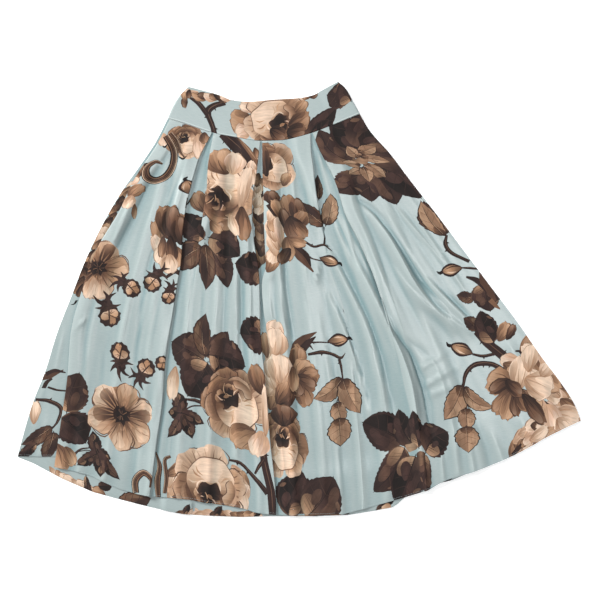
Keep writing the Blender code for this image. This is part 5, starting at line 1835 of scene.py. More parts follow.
def print_front(art):
    rng = random.Random(5)
    for points, widths, thorns in FRONT_STEMS:
        stem(art, points, widths, rng, thorns=thorns)
    for bx, by, tx, ty, width, style, bend in FRONT_LEAVES:
        leaf_from(art, (bx, by), (tx, ty), width * (1.1 if width > 19 else 1.0),
                  style, rng, bend)
    for b0, t0, w0, b1, t1, w1 in LOBES:
        leaf_from(art, b0, t0, w0, "taupe", rng, 0, 5)
        leaf_from(art, b1, t1, w1, "taupe", rng, 0, 5)
    for node, tips in SMALL_SPRAYS:
        for tx, ty, width in tips:
            leaf_from(art, node, (tx, ty), width, "small", rng, rng.uniform(-.08, .08), 4)
    for path, width, count, light, way in FRONT_RUFFLES:
        ruffles(art, path, width, count, rng, light, way)
    for centre, rx, ry, tones in FRONT_HEARTS:
        patch_of(art, centre, rx, ry, 0, tones, rng, 0.2)
    for px, py, r, light, wide, tall, outer, seed, warm in FRONT_ROSES:
        rose(art.pen(px, py, 0, wide, tall), 2.0 * r, light, random.Random(seed),
             outer, warm)
    for points, widths, colour in FRONT_CLAWS:
        claw(art, points, widths, colour)
    for px, py, r, petals, start, seed, warm in FRONT_BLOOMS:
        bloom(art.pen(px, py), 2.0 * r, random.Random(seed), petals, start, warm)
    for base, tip, width, tones in FRONT_PETALS:
        petal_from(art, base, tip, width, tones, rng)
    for px, py, r, calyx, seed in FRONT_BUDS:
        bud(art.pen(px, py), 2.0 * r, calyx, random.Random(seed))
    for base, tip, width in FRONT_SPIRES:
        spire_from(art, base, tip, width, rng)
    scroll(art, ((174, 133), (176, 149), (173, 166), (166, 178), (156, 181),
                 (149, 174), (150, 163), (158, 158), (164, 163)),
           (13, 13, 14, 17, 18, 16, 13, 10, 3), rng)
    scroll(art, ((173, 131), (178, 140), (181, 152), (185, 159)), (8, 8, 7, 3), rng)
    scroll(art, ((137, 492), (136, 480), (144, 472), (152, 478), (151, 486)),
           (14, 15, 13, 9, 4), rng)
    scroll(art, ((160, 496), (158, 480), (160, 466), (156, 452)), (10, 14, 10, 3), rng)
    scroll(art, ((166, 492), (167, 476), (165, 460), (171, 456)), (8, 9, 8, 6), rng)


# =====================================================================
# Cloth meshes: the flat cut is divided along the print and laid on its form
# =====================================================================
def inside(poly, q):
    """Even-odd test of points in a closed line."""
    x, y = q[:, 0], q[:, 1]
    x0, y0 = poly[:, 0], poly[:, 1]
    x1, y1 = np.roll(x0, -1), np.roll(y0, -1)
    out = np.zeros(len(q), bool)
    for a, b, c, d in zip(x0, y0, x1, y1):
        if b == d:
            continue
        cross = ((b > y) != (d > y)) & (x < (c - a) * (y - b) / (d - b) + a)
        out ^= cross
    return out


def simpler(points, tol):
    """A closed line without the points that lie within tol of its chords."""
    n = len(points)
    if n < 8:
        return points
    keep = np.zeros(n + 1, bool)
    ring = np.vstack([points, points[:1]])
    far = int(np.argmax(np.hypot(*(points - points[0]).T)))
    keep[[0, far, n]] = True
    stack = [(0, far), (far, n)]
    while stack:
        lo, hi = stack.pop()
        if hi - lo < 2:
            continue
        a, b = ring[lo], ring[hi]
        d = b - a
        size = math.hypot(*d)
        p = ring[lo + 1:hi] - a
        if size < 1e-9:
            off = np.hypot(*p.T)
        else:
            off = np.abs(p[:, 0] * d[1] - p[:, 1] * d[0]) / size
        k = int(np.argmax(off))
        if off[k] > tol:
            mid = lo + 1 + k
            keep[mid] = True
            stack += [(lo, mid), (mid, hi)]
    return points[keep[:-1]]


def outer_lines(layers, hidden_at):
    """The parts of the layers' outlines that show: not under a later layer,
    and not inside a fold."""
    lows = np.array([la["low"] for la in layers])
    highs = np.array([la["high"] for la in layers])
    pieces = []
    for k, la in enumerate(layers):
        p = la["points"]
        q = np.roll(p, -1, axis=0)
        mid = 0.5 * (p + q)
        over = np.nonzero((lows[k + 1:, 0] < la["high"][0])
                          & (highs[k + 1:, 0] > la["low"][0])
                          & (lows[k + 1:, 1] < la["high"][1])
                          & (highs[k + 1:, 1] > la["low"][1]))[0] + k + 1
        keep = np.ones(len(p), bool)
        for m in over:
            top = layers[m]["points"]
            keep &= ~(inside(top, p) & inside(top, q) & inside(top, mid))
            if not keep.any():
                break
        keep &= ~(hidden_at(p) & hidden_at(q))
        keep &= np.hypot(*(p - q).T) > 1e-3
        pieces.append((p[keep], q[keep]))
    return pieces


def grid_parts(cloth, keep, row_step, col_step):
    """Base points of the flat cut, its border and the kept columns."""
    rows, cols = cloth.u.shape
    jj = sorted(set(range(0, rows, row_step)) | {rows - 1})
    ii = sorted(set(range(0, cols, col_step)) | {cols - 1} | set(keep))
    flat = cloth.grid_flat()
    pts = flat[np.ix_(jj, ii)]
    nj, ni = len(jj), len(ii)
    num = np.arange(nj * ni).reshape(nj, ni)
    edges = []
    for c, i in enumerate(ii):
        if i in keep or c in (0, ni - 1):
            edges += list(zip(num[:-1, c].tolist(), num[1:, c].tolist()))
    for r in (0, nj - 1):
        edges += list(zip(num[r, :-1].tolist(), num[r, 1:].tolist()))
    return pts.reshape(-1, 2), edges, (jj, ii)


def triangulate(pts, edges):
    out = delaunay_2d_cdt([Vector(p) for p in pts.tolist()], edges, [], 1, 1e-3, False)
    q = np.array([tuple(v) for v in out[0]])
    tris = np.array([f for f in out[2]], int)
    return q, tris


def shell(name, cloth, keep, art, material, offsets, grid=(2, 2),
          lining=(2, 2), flip=False, base=SATIN_BLUE, reverse=REVERSE, under=None):
    """A closed thin shell on the cloth's middle: the printed side towards the
    normals, the plain reverse on the other, and a rim between them."""
    keep = set(keep)
    out_by, in_by = offsets
    relief = getattr(cloth, "relief", None)
    hide = ~cloth.shown
    near = cloth.shown.copy()
    for k in range(1, 5):
        near[:, k:] |= cloth.shown[:, :-k]
        near[:, :-k] |= cloth.shown[:, k:]
    hide = ~near

    def hidden_at(q):
        j, c = cloth.index(q)
        return hide[np.clip(np.rint(j).astype(int), 0, hide.shape[0] - 1),
                    np.clip(np.rint(c).astype(int), 0, hide.shape[1] - 1)]

    def out_of(q):
        if cloth.radius is None:
            v, u = -q[:, 1] / cloth.length, q[:, 0]
        else:
            y = cloth.radius - q[:, 1]
            rho = np.hypot(q[:, 0], y)
            v = (rho - cloth.radius) / cloth.length
            u = np.arctan2(q[:, 0], y) * rho
        lo = np.interp(v, cloth.v, cloth.u[:, 0])
        hi = np.interp(v, cloth.v, cloth.u[:, -1])
        return (v < cloth.v[0]) | (v > cloth.v[-1]) | (u < lo) | (u > hi)

    pts, edges, used = grid_parts(cloth, keep, *grid)
    for x0, y0, x1, y1 in getattr(cloth, "spots", ()):
        (ax, ay), (bx, by) = at(x0, y1), at(x1, y0)
        px, py = cloth.points[..., 0], cloth.points[..., 1]
        fine = (px > ax) & (px < bx) & (py > ay) & (py < by) & cloth.shown
        fine[np.ix_(*used)] = False
        pts = np.vstack([pts, cloth.grid_flat()[fine]])
    layers = art.layers if art else []
    for la in layers:
        la["points"] = simpler(la["points"], 0.40)
    extra, links, count = [pts], list(edges), len(pts)
    for p, q in (outer_lines(layers, hidden_at) if layers else ()):
        gone = out_of(p) & out_of(q)
        p, q = p[~gone], q[~gone]
        if not len(p):
            continue
        both = np.vstack([p, q])
        uniq, back = np.unique(np.round(both, 5), axis=0, return_inverse=True)
        back = back.reshape(-1)
        extra.append(uniq)
        n = len(p)
        links += [(count + int(a), count + int(b))
                  for a, b in zip(back[:n], back[n:]) if a != b]
        count += len(uniq)
    q, tris = triangulate(np.vstack(extra), links)
    centre = q[tris].mean(1)
    tris = tris[~out_of(centre)]
    a, b, c = q[tris[:, 0]], q[tris[:, 1]], q[tris[:, 2]]
    area = np.cross(b - a, c - a)
    tris[area < 0] = tris[area < 0][:, ::-1]
    tris = tris[np.abs(area) > 1e-9]
    centre = q[tris].mean(1)

    # which layer each triangle belongs to
    owner = np.full(len(tris), -1)
    order = np.argsort(centre[:, 0], kind="stable")
    cx = centre[order, 0]
    for k, la in enumerate(layers):
        lo, hi = np.searchsorted(cx, la["low"][0]), np.searchsorted(cx, la["high"][0])
        some = order[lo:hi]
        y = centre[some, 1]
        some = some[(y > la["low"][1]) & (y < la["high"][1])]
        if len(some):
            owner[some[inside(la["points"], centre[some])]] = k

    used = np.unique(tris)
    remap = np.full(len(q), -1)
    remap[used] = np.arange(len(used))
    q, tris = q[used], remap[tris]
    j, ci = cloth.index(q)
    pos = cloth.sample(cloth.points, j, ci)
    nor = cloth.sample(cloth.normals, j, ci)
    nor /= np.maximum(np.linalg.norm(nor, axis=1), 1e-9)[:, None]
    sign = -1.0 if flip else 1.0
    face = pos + sign * out_by * nor
    if relief is not None:
        raised = Cloth(cloth.v, cloth.points + relief[..., None] * [0, 0, 1.0], cloth.u,
                       cloth.length, cloth.radius, cloth.shown)
        face = face + cloth.sample(relief[..., None], j, ci) * [0, 0, 1.0]
        nor = cloth.sample(raised.normals, j, ci)
        nor /= np.maximum(np.linalg.norm(nor, axis=1), 1e-9)[:, None]

    # border edges of the printed side, then the plain side between them
    ed = np.concatenate([tris[:, [0, 1]], tris[:, [1, 2]], tris[:, [2, 0]]])
    key = np.minimum(ed[:, 0], ed[:, 1]) * (len(q) + 1) + np.maximum(ed[:, 0], ed[:, 1])
    _, first, counts = np.unique(key, return_index=True, return_counts=True)
    border = ed[first[counts == 1]]
    rim_pts = np.unique(border)
    num = np.full(len(q), -1)
    num[rim_pts] = np.arange(len(rim_pts))
    ipts, iedges, _ = grid_parts(cloth, keep, *lining)
    is_border = np.zeros(len(ipts), bool)
    ji, ii = cloth.index(ipts)
    is_border |= (ji < 0.5) | (ji > len(cloth.v) - 1.5)
    is_border |= (ii < 0.5) | (ii > cloth.u.shape[1] - 1.5)
    newnum = np.full(len(ipts), -1)
    newnum[~is_border] = np.arange((~is_border).sum()) + len(rim_pts)
    links = [(int(num[a]), int(num[b])) for a, b in border]
    links += [(int(newnum[a]), int(newnum[b])) for a, b in iedges
              if newnum[a] >= 0 and newnum[b] >= 0]
    out = delaunay_2d_cdt([Vector(p) for p in np.vstack([q[rim_pts], ipts[~is_border]]).tolist()],
                          links, [], 1, 1e-6, True)
    iq = np.array([tuple(v) for v in out[0]])
    itris = np.array([f for f in out[2]], int)
    which = np.full(len(iq), -1)
    for k, src in enumerate(out[3]):
        for s in src:
            if s < len(rim_pts):
                which[k] = s
    cent = iq[itris].mean(1)
    itris = itris[~out_of(cent)]
    a, b, c = iq[itris[:, 0]], iq[itris[:, 1]], iq[itris[:, 2]]
    iarea = np.cross(b - a, c - a)
    itris[iarea < 0] = itris[iarea < 0][:, ::-1]
    ij, ic = cloth.index(iq)
    ipos = cloth.sample(cloth.points, ij, ic)
    inor = cloth.sample(cloth.normals, ij, ic)
    inor /= np.maximum(np.linalg.norm(inor, axis=1), 1e-9)[:, None]
    # the border of the plain side keeps the printed side's own points
    on = which >= 0
    ipos[on] = pos[rim_pts[which[on]]]
    inor[on] = nor[rim_pts[which[on]]]
    plain_side = ipos - sign * in_by * inor
    if under is not None:
        # where the faces crease, the plain side keeps below the printed one
        low = cloth.sample(under[..., None], ij, ic)[:, 0]
        free = (low < 1e8) & ~on
        plain_side[free, 2] = np.minimum(plain_side[free, 2], low[free])
    back_of = np.full(len(rim_pts), -1)
    back_of[which[on]] = np.nonzero(on)[0]
    n_face, n_back = len(q), len(iq)
    rim = []
    for a, b in border:
        a2, b2 = back_of[num[a]], back_of[num[b]]
        if a2 < 0 or b2 < 0:
            continue
        rim.append((a, a2 + n_face, b2 + n_face))
        rim.append((a, b2 + n_face, b))
    rim = np.array(rim)
    faces = np.concatenate([tris, itris[:, ::-1] + n_face, rim])
    verts = (np.concatenate([face, plain_side]) - ORIGIN) * 0.001
    if flip:
        faces = faces[:, ::-1]

    # corner colours: print on the face, plain cloth elsewhere
    n1, n2 = len(tris), len(itris)
    col = np.zeros((len(faces), 3, 4))
    grain = np.zeros((len(faces), 3, 3))
    corner = q[tris]
    col[:n1, :, :3] = base
    grain[:n1, :, :2] = corner * 0.01
    for k, la in enumerate(layers):
        mine = np.nonzero(owner == k)[0]
        if not len(mine):
            continue
        pts = corner[mine].reshape(-1, 2)
        col[mine, :, :3] = paint_at(la, pts).reshape(-1, 3, 3)
        col[mine, :, 3] = 1.0
        cs, sn = math.cos(-la["grain"]), math.sin(-la["grain"])
        gx = pts[:, 0] * cs - pts[:, 1] * sn
        gy = pts[:, 0] * sn + pts[:, 1] * cs
        grain[mine, :, 0] = gx.reshape(-1, 3) * 0.01 + (k % 17) * 1.7
        grain[mine, :, 1] = gy.reshape(-1, 3) * 0.01 + (k % 23) * 2.3
        grain[mine, :, 2] = 1.0
    if getattr(cloth, "tint", None) is not None:
        # the painted shade and painted highlight held in cloth.tint go three quarters as strong on the
        # print as on the ground
        tint = cloth.sample(cloth.tint, j, ci)[tris]
        share = np.where(owner < 0, 1.0, 0.75)[:, None, None]
        col[:n1, :, :3] *= 1.0 + share * (tint - 1.0)
    col[n1:, :, :3] = reverse
    corner2 = np.concatenate([q, iq])
    grain[n1:, :, :2] = corner2[faces[n1:] if not flip else faces[n1:, ::-1]] * 0.01
    if flip:
        col[:n1] = col[:n1, ::-1]
        grain[:n1] = grain[:n1, ::-1]

    mesh = bpy.data.meshes.new(name)
    mesh.vertices.add(len(verts))
    mesh.vertices.foreach_set("co", verts.astype(np.float32).ravel())
    mesh.loops.add(3 * len(faces))
    mesh.loops.foreach_set("vertex_index", faces.astype(np.int32).ravel())
    mesh.polygons.add(len(faces))
    mesh.polygons.foreach_set("loop_start", np.arange(0, 3 * len(faces), 3, dtype=np.int32))
    mesh.polygons.foreach_set("loop_total", np.full(len(faces), 3, dtype=np.int32))
    mesh.update(calc_edges=True)
    mesh.validate()
    layer = mesh.color_attributes.new("Print", "FLOAT_COLOR", "CORNER")
    layer.data.foreach_set("color", col.astype(np.float32).ravel())
    vec = mesh.attributes.new("Grain", "FLOAT_VECTOR", "CORNER")
    vec.data.foreach_set("vector", grain.astype(np.float32).ravel())
    mesh.shade_smooth()
    vn = np.concatenate([sign * nor, -sign * inor])
    loops = vn[faces]
    if len(rim):
        p = verts[faces[n1 + n2:]]
        flat_n = np.cross(p[:, 1] - p[:, 0], p[:, 2] - p[:, 0])
        flat_n /= np.maximum(np.linalg.norm(flat_n, axis=1), 1e-12)[:, None]
        loops[n1 + n2:] = flat_n[:, None, :]
    mesh.normals_split_custom_set(loops.reshape(-1, 3).tolist())
    mesh.materials.append(material)
    ob = bpy.data.objects.new(name, mesh)
    bpy.context.scene.collection.objects.link(ob)
    print(f"{name}: {len(faces)} triangles, {n1} printed, {n2} plain, {len(rim)} rim, "
          f"{len(layers)} layers, flat area {np.abs(area).sum() * 0.5e-6:.4f} m2")
    return ob


def face_floor(cloth, gap):
    """The lowest height near each shown point of the cloth, less the gap, and
    a very high one inside the folds, where it doesn't apply."""
    z = np.where(cloth.shown, cloth.points[..., 2], 1e9)
    low = z.copy()
    for dj in range(-3, 4):
        for di in range(-3, 4):
            near = np.roll(z, (dj, di), (0, 1))
            if dj > 0:
                near[:dj] = z[:dj]
            elif dj < 0:
                near[dj:] = z[dj:]
            low = np.minimum(low, near)
    low -= gap
    low[~cloth.shown] = 1e9
    return low


# =====================================================================
# Materials
# =====================================================================
def satin(name, gloss=0.36, print_gloss=0.40, weave=1.0):
    """Printed duchess satin: the print from the mesh's own colours, brushed
    along each petal and leaf, over a fine weave with soft slubs."""
    m = bpy.data.materials.new(name)
    m.use_nodes = True
    nt = m.node_tree
    nodes, link = nt.nodes, nt.links.new
    bsdf = nodes["Principled BSDF"]
    colour = nodes.new("ShaderNodeVertexColor")
    colour.layer_name = "Print"
    grain = nodes.new("ShaderNodeAttribute")
    grain.attribute_name = "Grain"

    def noise(scale, detail, rough, source, stretch):
        mapping = nodes.new("ShaderNodeMapping")
        mapping.inputs["Scale"].default_value = stretch
        link(source, mapping.inputs["Vector"])
        n = nodes.new("ShaderNodeTexNoise")
        n.inputs["Scale"].default_value = scale
        n.inputs["Detail"].default_value = detail
        n.inputs["Roughness"].default_value = rough
        link(mapping.outputs["Vector"], n.inputs["Vector"])
        return n.outputs["Fac"]

    def remap(value, a, b, c, d):
        r = nodes.new("ShaderNodeMapRange")
        r.inputs["From Min"].default_value = a
        r.inputs["From Max"].default_value = b
        r.inputs["To Min"].default_value = c
        r.inputs["To Max"].default_value = d
        link(value, r.inputs["Value"])
        return r.outputs["Result"]

    def calc(op, x, y):
        n = nodes.new("ShaderNodeMath")
        n.operation = op
        for k, v in enumerate((x, y)):
            if isinstance(v, (int, float)):
                n.inputs[k].default_value = v
            else:
                link(v, n.inputs[k])
        return n.outputs[0]

    # brush strokes: long along the grain, fine across it
    strokes = noise(9.0, 3.0, 0.6, grain.outputs["Vector"], (0.35, 2.6, 1.0))
    wash = noise(3.2, 2.0, 0.5, grain.outputs["Vector"], (1.0, 1.0, 1.0))
    amount = calc("ADD", remap(strokes, 0.3, 0.7, -0.17, 0.17),
                  remap(wash, 0.3, 0.7, -0.13, 0.13))
    amount = calc("MULTIPLY", amount, colour.outputs["Alpha"])
    # the dyed ground is nearly even
    ground = remap(noise(1.6, 2.0, 0.5, grain.outputs["Vector"], (1, 1, 1)),
                   0.3, 0.7, -0.02, 0.02)
    level = calc("ADD", calc("ADD", amount, ground), 1.0)
    tint = nodes.new("ShaderNodeVectorMath")
    tint.operation = "SCALE"
    link(colour.outputs["Color"], tint.inputs[0])
    link(level, tint.inputs["Scale"])
    link(tint.outputs["Vector"], bsdf.inputs["Base Color"])

    slub = noise(60.0, 2.0, 0.5, grain.outputs["Vector"], (0.12, 3.0, 1.0))
    rough = calc("ADD", calc("MULTIPLY", colour.outputs["Alpha"], print_gloss - gloss),
                 remap(slub, 0.3, 0.7, gloss - 0.03, gloss + 0.03))
    link(rough, bsdf.inputs["Roughness"])
    bsdf.inputs["IOR"].default_value = 1.56
    bsdf.inputs["Specular IOR Level"].default_value = 0.30
    bsdf.inputs["Sheen Weight"].default_value = 0.03
    bsdf.inputs["Sheen Roughness"].default_value = 0.45
    bsdf.inputs["Sheen Tint"].default_value = (0.88, 0.95, 1.0, 1.0)

    # warp and weft, half a millimetre apart, under the slubs
    geo = nodes.new("ShaderNodeTexCoord")
    bump = None
    for rot, size in ((0.0, 1.0), (math.pi / 2, 0.45)):
        mapping = nodes.new("ShaderNodeMapping")
        mapping.inputs["Rotation"].default_value = (0, 0, rot)
        link(geo.outputs["Object"], mapping.inputs["Vector"])
        wave = nodes.new("ShaderNodeTexWave")
        wave.inputs["Scale"].default_value = 320.0
        wave.inputs["Distortion"].default_value = 0.6
        wave.inputs["Detail"].default_value = 1.0
        link(mapping.outputs["Vector"], wave.inputs["Vector"])
        part = calc("MULTIPLY", wave.outputs["Fac"], size)
        bump = part if bump is None else calc("ADD", bump, part)
    bump = calc("ADD", bump, calc("MULTIPLY", slub, 0.22))
    node = nodes.new("ShaderNodeBump")
    node.inputs["Strength"].default_value = 0.06 * weave
    node.inputs["Distance"].default_value = 0.0002
    link(bump, node.inputs["Height"])
    link(node.outputs["Normal"], bsdf.inputs["Normal"])
    return m


def plain(name, colour, rough):
    m = bpy.data.materials.new(name)
    m.use_nodes = True
    b = m.node_tree.nodes["Principled BSDF"]
    b.inputs["Base Color"].default_value = (*[float(c) for c in colour], 1)
    b.inputs["Roughness"].default_value = rough
    return m


# =====================================================================
# The other pieces' forms
# =====================================================================
def back_cloth(rows):
    """The back panel: its layers lie downwards, so its heights are mirrored."""
    k = FINE
    v_all = row_steps(rows * k, SEAM_DROP / LENGTH)
    pts, dev, turns = [], [], []
    for v in v_all:
        a_row, s_row, folds = BACK.row(v, BACK_R, (2 * k, 2 * k, 3 * k))
        length = s_row[-1]
        s, z, first = [0.0], [0.0], []

        def run(p1, z1, n):
            p0, z0 = s[-1], z[-1]
            for m in range(1, n + 1):
                s.append(p0 + (p1 - p0) * m / n)
                z.append(z0 + (z1 - z0) * m / n)

        for left, right in zip(folds[::2], folds[1::2]):
            run(left[4][0][0], 0.0, 20 * k)
            first.append(len(s) - 1)
            for ps, pz in left[4][1:]:
                s.append(ps), z.append(pz)
            run(left[1], -left[3], 2 * k)
            run(right[1], -right[3], 2 * k)
            run(right[4][0][0], -right[3], 2 * k)
            for ps, pz in right[4][1:]:
                s.append(ps), z.append(pz)
            first.append(len(s) - 1)
        run(length, 0.0, 26 * k)
        s, z = np.array(s), CLOTH / 2 - np.array(z)
        a = np.interp(s, s_row, a_row)
        dev.append(developed(s, z))
        # light creases down the panel, lifted clear of what it lies on
        x = s / length
        wave = 0.35 * (1 + np.sin(23 * x + 2.2 * v + 1.0)) * ease(v / 0.25)
        wave *= 0.5 + 0.5 * np.sin(61 * x - 3.0 * v)
        flat_ = np.abs(z - CLOTH / 2) < 1e-6
        z = z + np.where(flat_, np.maximum(wave, 0.0) * 0.5, 0.0)
        pts.append(np.c_[BODY.at(a, v * back_end(a)), z])
        turns = first
    pts, dev = np.array(pts), np.array(dev)
    middle = (turns[2] + turns[3]) // 2
    dev = dev - dev[:, middle:middle + 1]
    width = dev[:, -1] - dev[:, 0]
    radius = LENGTH / (width[-1] / width[0] - 1)
    cloth = Cloth(v_all, pts, dev, LENGTH, radius, np.ones(dev.shape, bool))
    keep = [c for lo, hi in zip(turns[::2], turns[1::2])
            for c in range(lo, hi + 1) if c % k == 0]
    return cloth, keep


def hem_cloth():
    """The allowance turned up inside the back."""
    ups = np.linspace(HEM_UP, 0.4, 19)
    n = 560
    pts, dev = [], []
    for up in ups:
        v = 1 - up / LENGTH
        a_row, s_row, _ = BACK.row(v, BACK_R, (2, 1, 2))
        s = np.linspace(0.6, s_row[-1] - 0.6, n)
        a = np.interp(s, s_row, a_row)
        z = 1.5 * CLOTH + GAP + back_stack(v, s, 3.0, 5.0)
        # a soft roll towards the fold at the very edge
        z = z - 0.35 * ease((4.0 - up) / 4.0)
        pts.append(np.c_[BODY.at(a, back_end(a) - up / LENGTH), z])
        dev.append(developed(s, z))
    pts, dev = np.array(pts), np.array(dev)
    dev = dev - dev[:, n // 2:n // 2 + 1]
    cloth = Cloth((HEM_UP - ups) / HEM_UP, pts, dev, HEM_UP, None,
                  np.ones(dev.shape, bool))
    return cloth, []


def band_cloth(front):
    """Half of the waistband, from its top edge down to the waist seam."""
    v_all = np.r_[0, 0.004, 0.010, 0.018, 0.03, np.linspace(0.05, 0.90, 16),
                  0.918, 0.932, 0.944, 0.956, 0.966, 0.976, 0.984, 0.990, 0.996, 1.0]
    a = np.r_[0, 0.0015, 0.004, 0.008, np.linspace(0.015, 0.985, 118), 0.992, 0.996,
              0.9985, 1.0]
    high = BAND_PLAN.left.length
    pts, dev, relief = [], [], []
    for v in v_all:
        plan = BAND_PLAN.at(a, v)
        z = np.full_like(a, BAND / 2)
        if front:
            z = z + BAND + GAP + 1.9 * np.sqrt(np.sin(math.pi * a))
            z = z + (CLOTH + GAP) * np.clip((a - 0.84) / 0.06, 0, 1)
        run = np.r_[0, np.cumsum(np.hypot(*np.diff(plan, axis=0).T))]
        # edges folded over
        edge = np.minimum(np.minimum(v * high, (1 - v) * high),
                          np.minimum(run, run[-1] - run))
        round_ = np.sqrt(np.clip(1 - (1 - np.clip(edge / 1.6, 0, 1)) ** 2, 0, 1))
        up = -0.95 * (1 - round_)
        # the cloth is a little slack over its stiffening
        slack = (np.sin(37 * a + 3 * v) * np.sin(11 * a - 2 * v + 0.6)
                 + 0.5 * np.sin(71 * a + 9 * v))
        up = up + 0.20 * slack * math.sin(math.pi * v) * round_
        relief.append(up if front else np.zeros_like(up))
        pts.append(np.c_[plan, z])
        dev.append(run - 0.5 * run[-1])
    pts, dev = np.array(pts), np.array(dev)
    mean = 0.5 * (high + BAND_PLAN.right.length)
    cloth = Cloth(v_all, pts, dev, mean, None, np.ones(dev.shape, bool))
    cloth.relief = np.array(relief)
    if front:
        # a painted highlight along the pressed edge over the seam
        painted_edge_highlight = np.interp(v_all * high, [high - 3.2, high - 2.2, high - 0.9, high],
                         [0, 1, 1, 0.4])
        cloth.tint = 1.0 + painted_edge_highlight[:, None, None] * np.array([0.42, 0.36, 0.34])
        cloth.tint = np.broadcast_to(cloth.tint, dev.shape + (3,)).copy()
    return cloth, []


def tape_cloth():
    """The closed zip: a tape with the coil's ridge down its middle."""
    top = BAND_PLAN.at(1.0, np.linspace(0.12, 1, 4))
    low = BODY.at(1.0, np.array([8, 40, 80, 120, ZIP_LENGTH]) / LENGTH)
    knots = np.concatenate([top, low])
    heights = np.array([BAND + GAP + CLOTH / 2] * 4 + [1.5 * CLOTH + GAP] * 5)
    run = np.r_[0, np.cumsum(np.hypot(*np.diff(knots, axis=0).T))]
    t = np.linspace(0, run[-1], 260)
    line = np.c_[np.interp(t, run, knots[:, 0]), np.interp(t, run, knots[:, 1])]
    height = np.interp(t, run, heights)
    kw = np.gradient(knots, axis=0)
    kw /= np.linalg.norm(kw, axis=1)[:, None]
    way = np.c_[np.interp(t, run, kw[:, 0]), np.interp(t, run, kw[:, 1])]
    way /= np.linalg.norm(way, axis=1)[:, None]
    inward = np.c_[way[:, 1], -way[:, 0]]
    inward *= np.sign(inward[:, :1]) * -1
    offs = np.r_[np.linspace(0, 8.6, 8), 9.4, 10.2, 11.0, 11.8, 12.6,
                 np.linspace(13.4, ZIP_WIDTH, 8)]
    pts, dev = [], []
    for k, d in enumerate(t):
        # teeth: short bars across the middle, one every 1.5 mm
        mid = np.exp(-((offs - 11.0) / 1.5) ** 4)
        tooth = 0.5 + 0.5 * math.cos(2 * math.pi * d / 1.5)
        z = height[k] + mid * (0.16 + 0.10 * tooth) - 0.1
        pts.append(np.c_[line[k] + inward[k] * (ZIP_INSET + offs)[:, None], z])
        dev.append(offs - 11.0)
    pts, dev = np.array(pts), np.array(dev)
    cloth = Cloth(t / run[-1], pts, dev, run[-1], None, np.ones(dev.shape, bool))
    return cloth, []


def threads(name, rows, colour, length=2.6, gap=0.9, thick=0.34):
    """Machine stitches along lines of the cloth, as one joined mesh of small
    rounded bars that dip into the cloth at both ends."""
    verts, faces = [], []
    for line, up in rows:
        run = np.r_[0, np.cumsum(np.linalg.norm(np.diff(line, axis=0), axis=1))]
        d = 1.0
        while d + length < run[-1] - 1.0:
            ts = d + length * np.array([0.0, 0.22, 0.78, 1.0])
            p = np.stack([np.interp(ts, run, line[:, k]) for k in range(3)], -1)
            n = np.stack([np.interp(ts, run, up[:, k]) for k in range(3)], -1)
            n /= np.linalg.norm(n, axis=1)[:, None]
            p = p + n * np.array([-0.10, 0.14, 0.14, -0.10])[:, None]
            way = p[-1] - p[0]
            way /= np.linalg.norm(way)
            side = np.cross(n, way)
            base = len(verts)
            for q, m, sd in zip(p, n, side):
                for cx, cz in ((1, 0), (0, 1), (-1, 0), (0, -1)):
                    verts.append(q + 0.5 * thick * (cx * sd + cz * m))
            for r in range(3):
                for c in range(4):
                    i0, i1 = base + 4 * r + c, base + 4 * r + (c + 1) % 4
                    faces.append((i0, i1, i1 + 4, i0 + 4))
            faces.append((base + 3, base + 2, base + 1, base))
            faces.append((base + 12, base + 13, base + 14, base + 15))
            d += length + gap
    mesh = bpy.data.meshes.new(name)
    pts = (np.array(verts) - ORIGIN) * 0.001
    mesh.from_pydata(pts.tolist(), [], faces)
    mesh.validate()
    mesh.shade_smooth()
    mesh.materials.append(colour)
    ob = bpy.data.objects.new(name, mesh)
    bpy.context.scene.collection.objects.link(ob)
    print(f"{name}: {len(faces)} faces of stitches, {len(rows)} rows")
    return ob


def along(cloth, v, face, c0=0, c1=None, lift=0.25):
    """A line of the cloth at one row fraction, raised to its face."""
    c = np.arange(c0, (c1 or cloth.u.shape[1] - 1) + 1).astype(float)
    j = np.full_like(c, float(np.interp(v, cloth.v, np.arange(len(cloth.v)))))
    p = cloth.sample(cloth.points, j, c)
    n = cloth.sample(cloth.normals, j, c) * (1 if face else -1)
    return p + n * lift, n


def thread_paint(name, colour):
    """Twisted sewing thread."""
    m = bpy.data.materials.new(name)
    m.use_nodes = True
    nt = m.node_tree
    b = nt.nodes["Principled BSDF"]
    co = nt.nodes.new("ShaderNodeTexCoord")
    wave = nt.nodes.new("ShaderNodeTexWave")
    wave.inputs["Scale"].default_value = 900.0
    wave.bands_direction = "DIAGONAL"
    nt.links.new(co.outputs["Object"], wave.inputs["Vector"])
    ramp = nt.nodes.new("ShaderNodeMapRange")
    ramp.inputs["To Min"].default_value = 0.82
    ramp.inputs["To Max"].default_value = 1.06
    nt.links.new(wave.outputs["Fac"], ramp.inputs["Value"])
    tint = nt.nodes.new("ShaderNodeVectorMath")
    tint.operation = "SCALE"
    tint.inputs[0].default_value = tuple(float(c) for c in colour)
    nt.links.new(ramp.outputs["Result"], tint.inputs["Scale"])
    nt.links.new(tint.outputs["Vector"], b.inputs["Base Color"])
    b.inputs["Roughness"].default_value = 0.5
    b.inputs["Sheen Weight"].default_value = 0.3
    return m


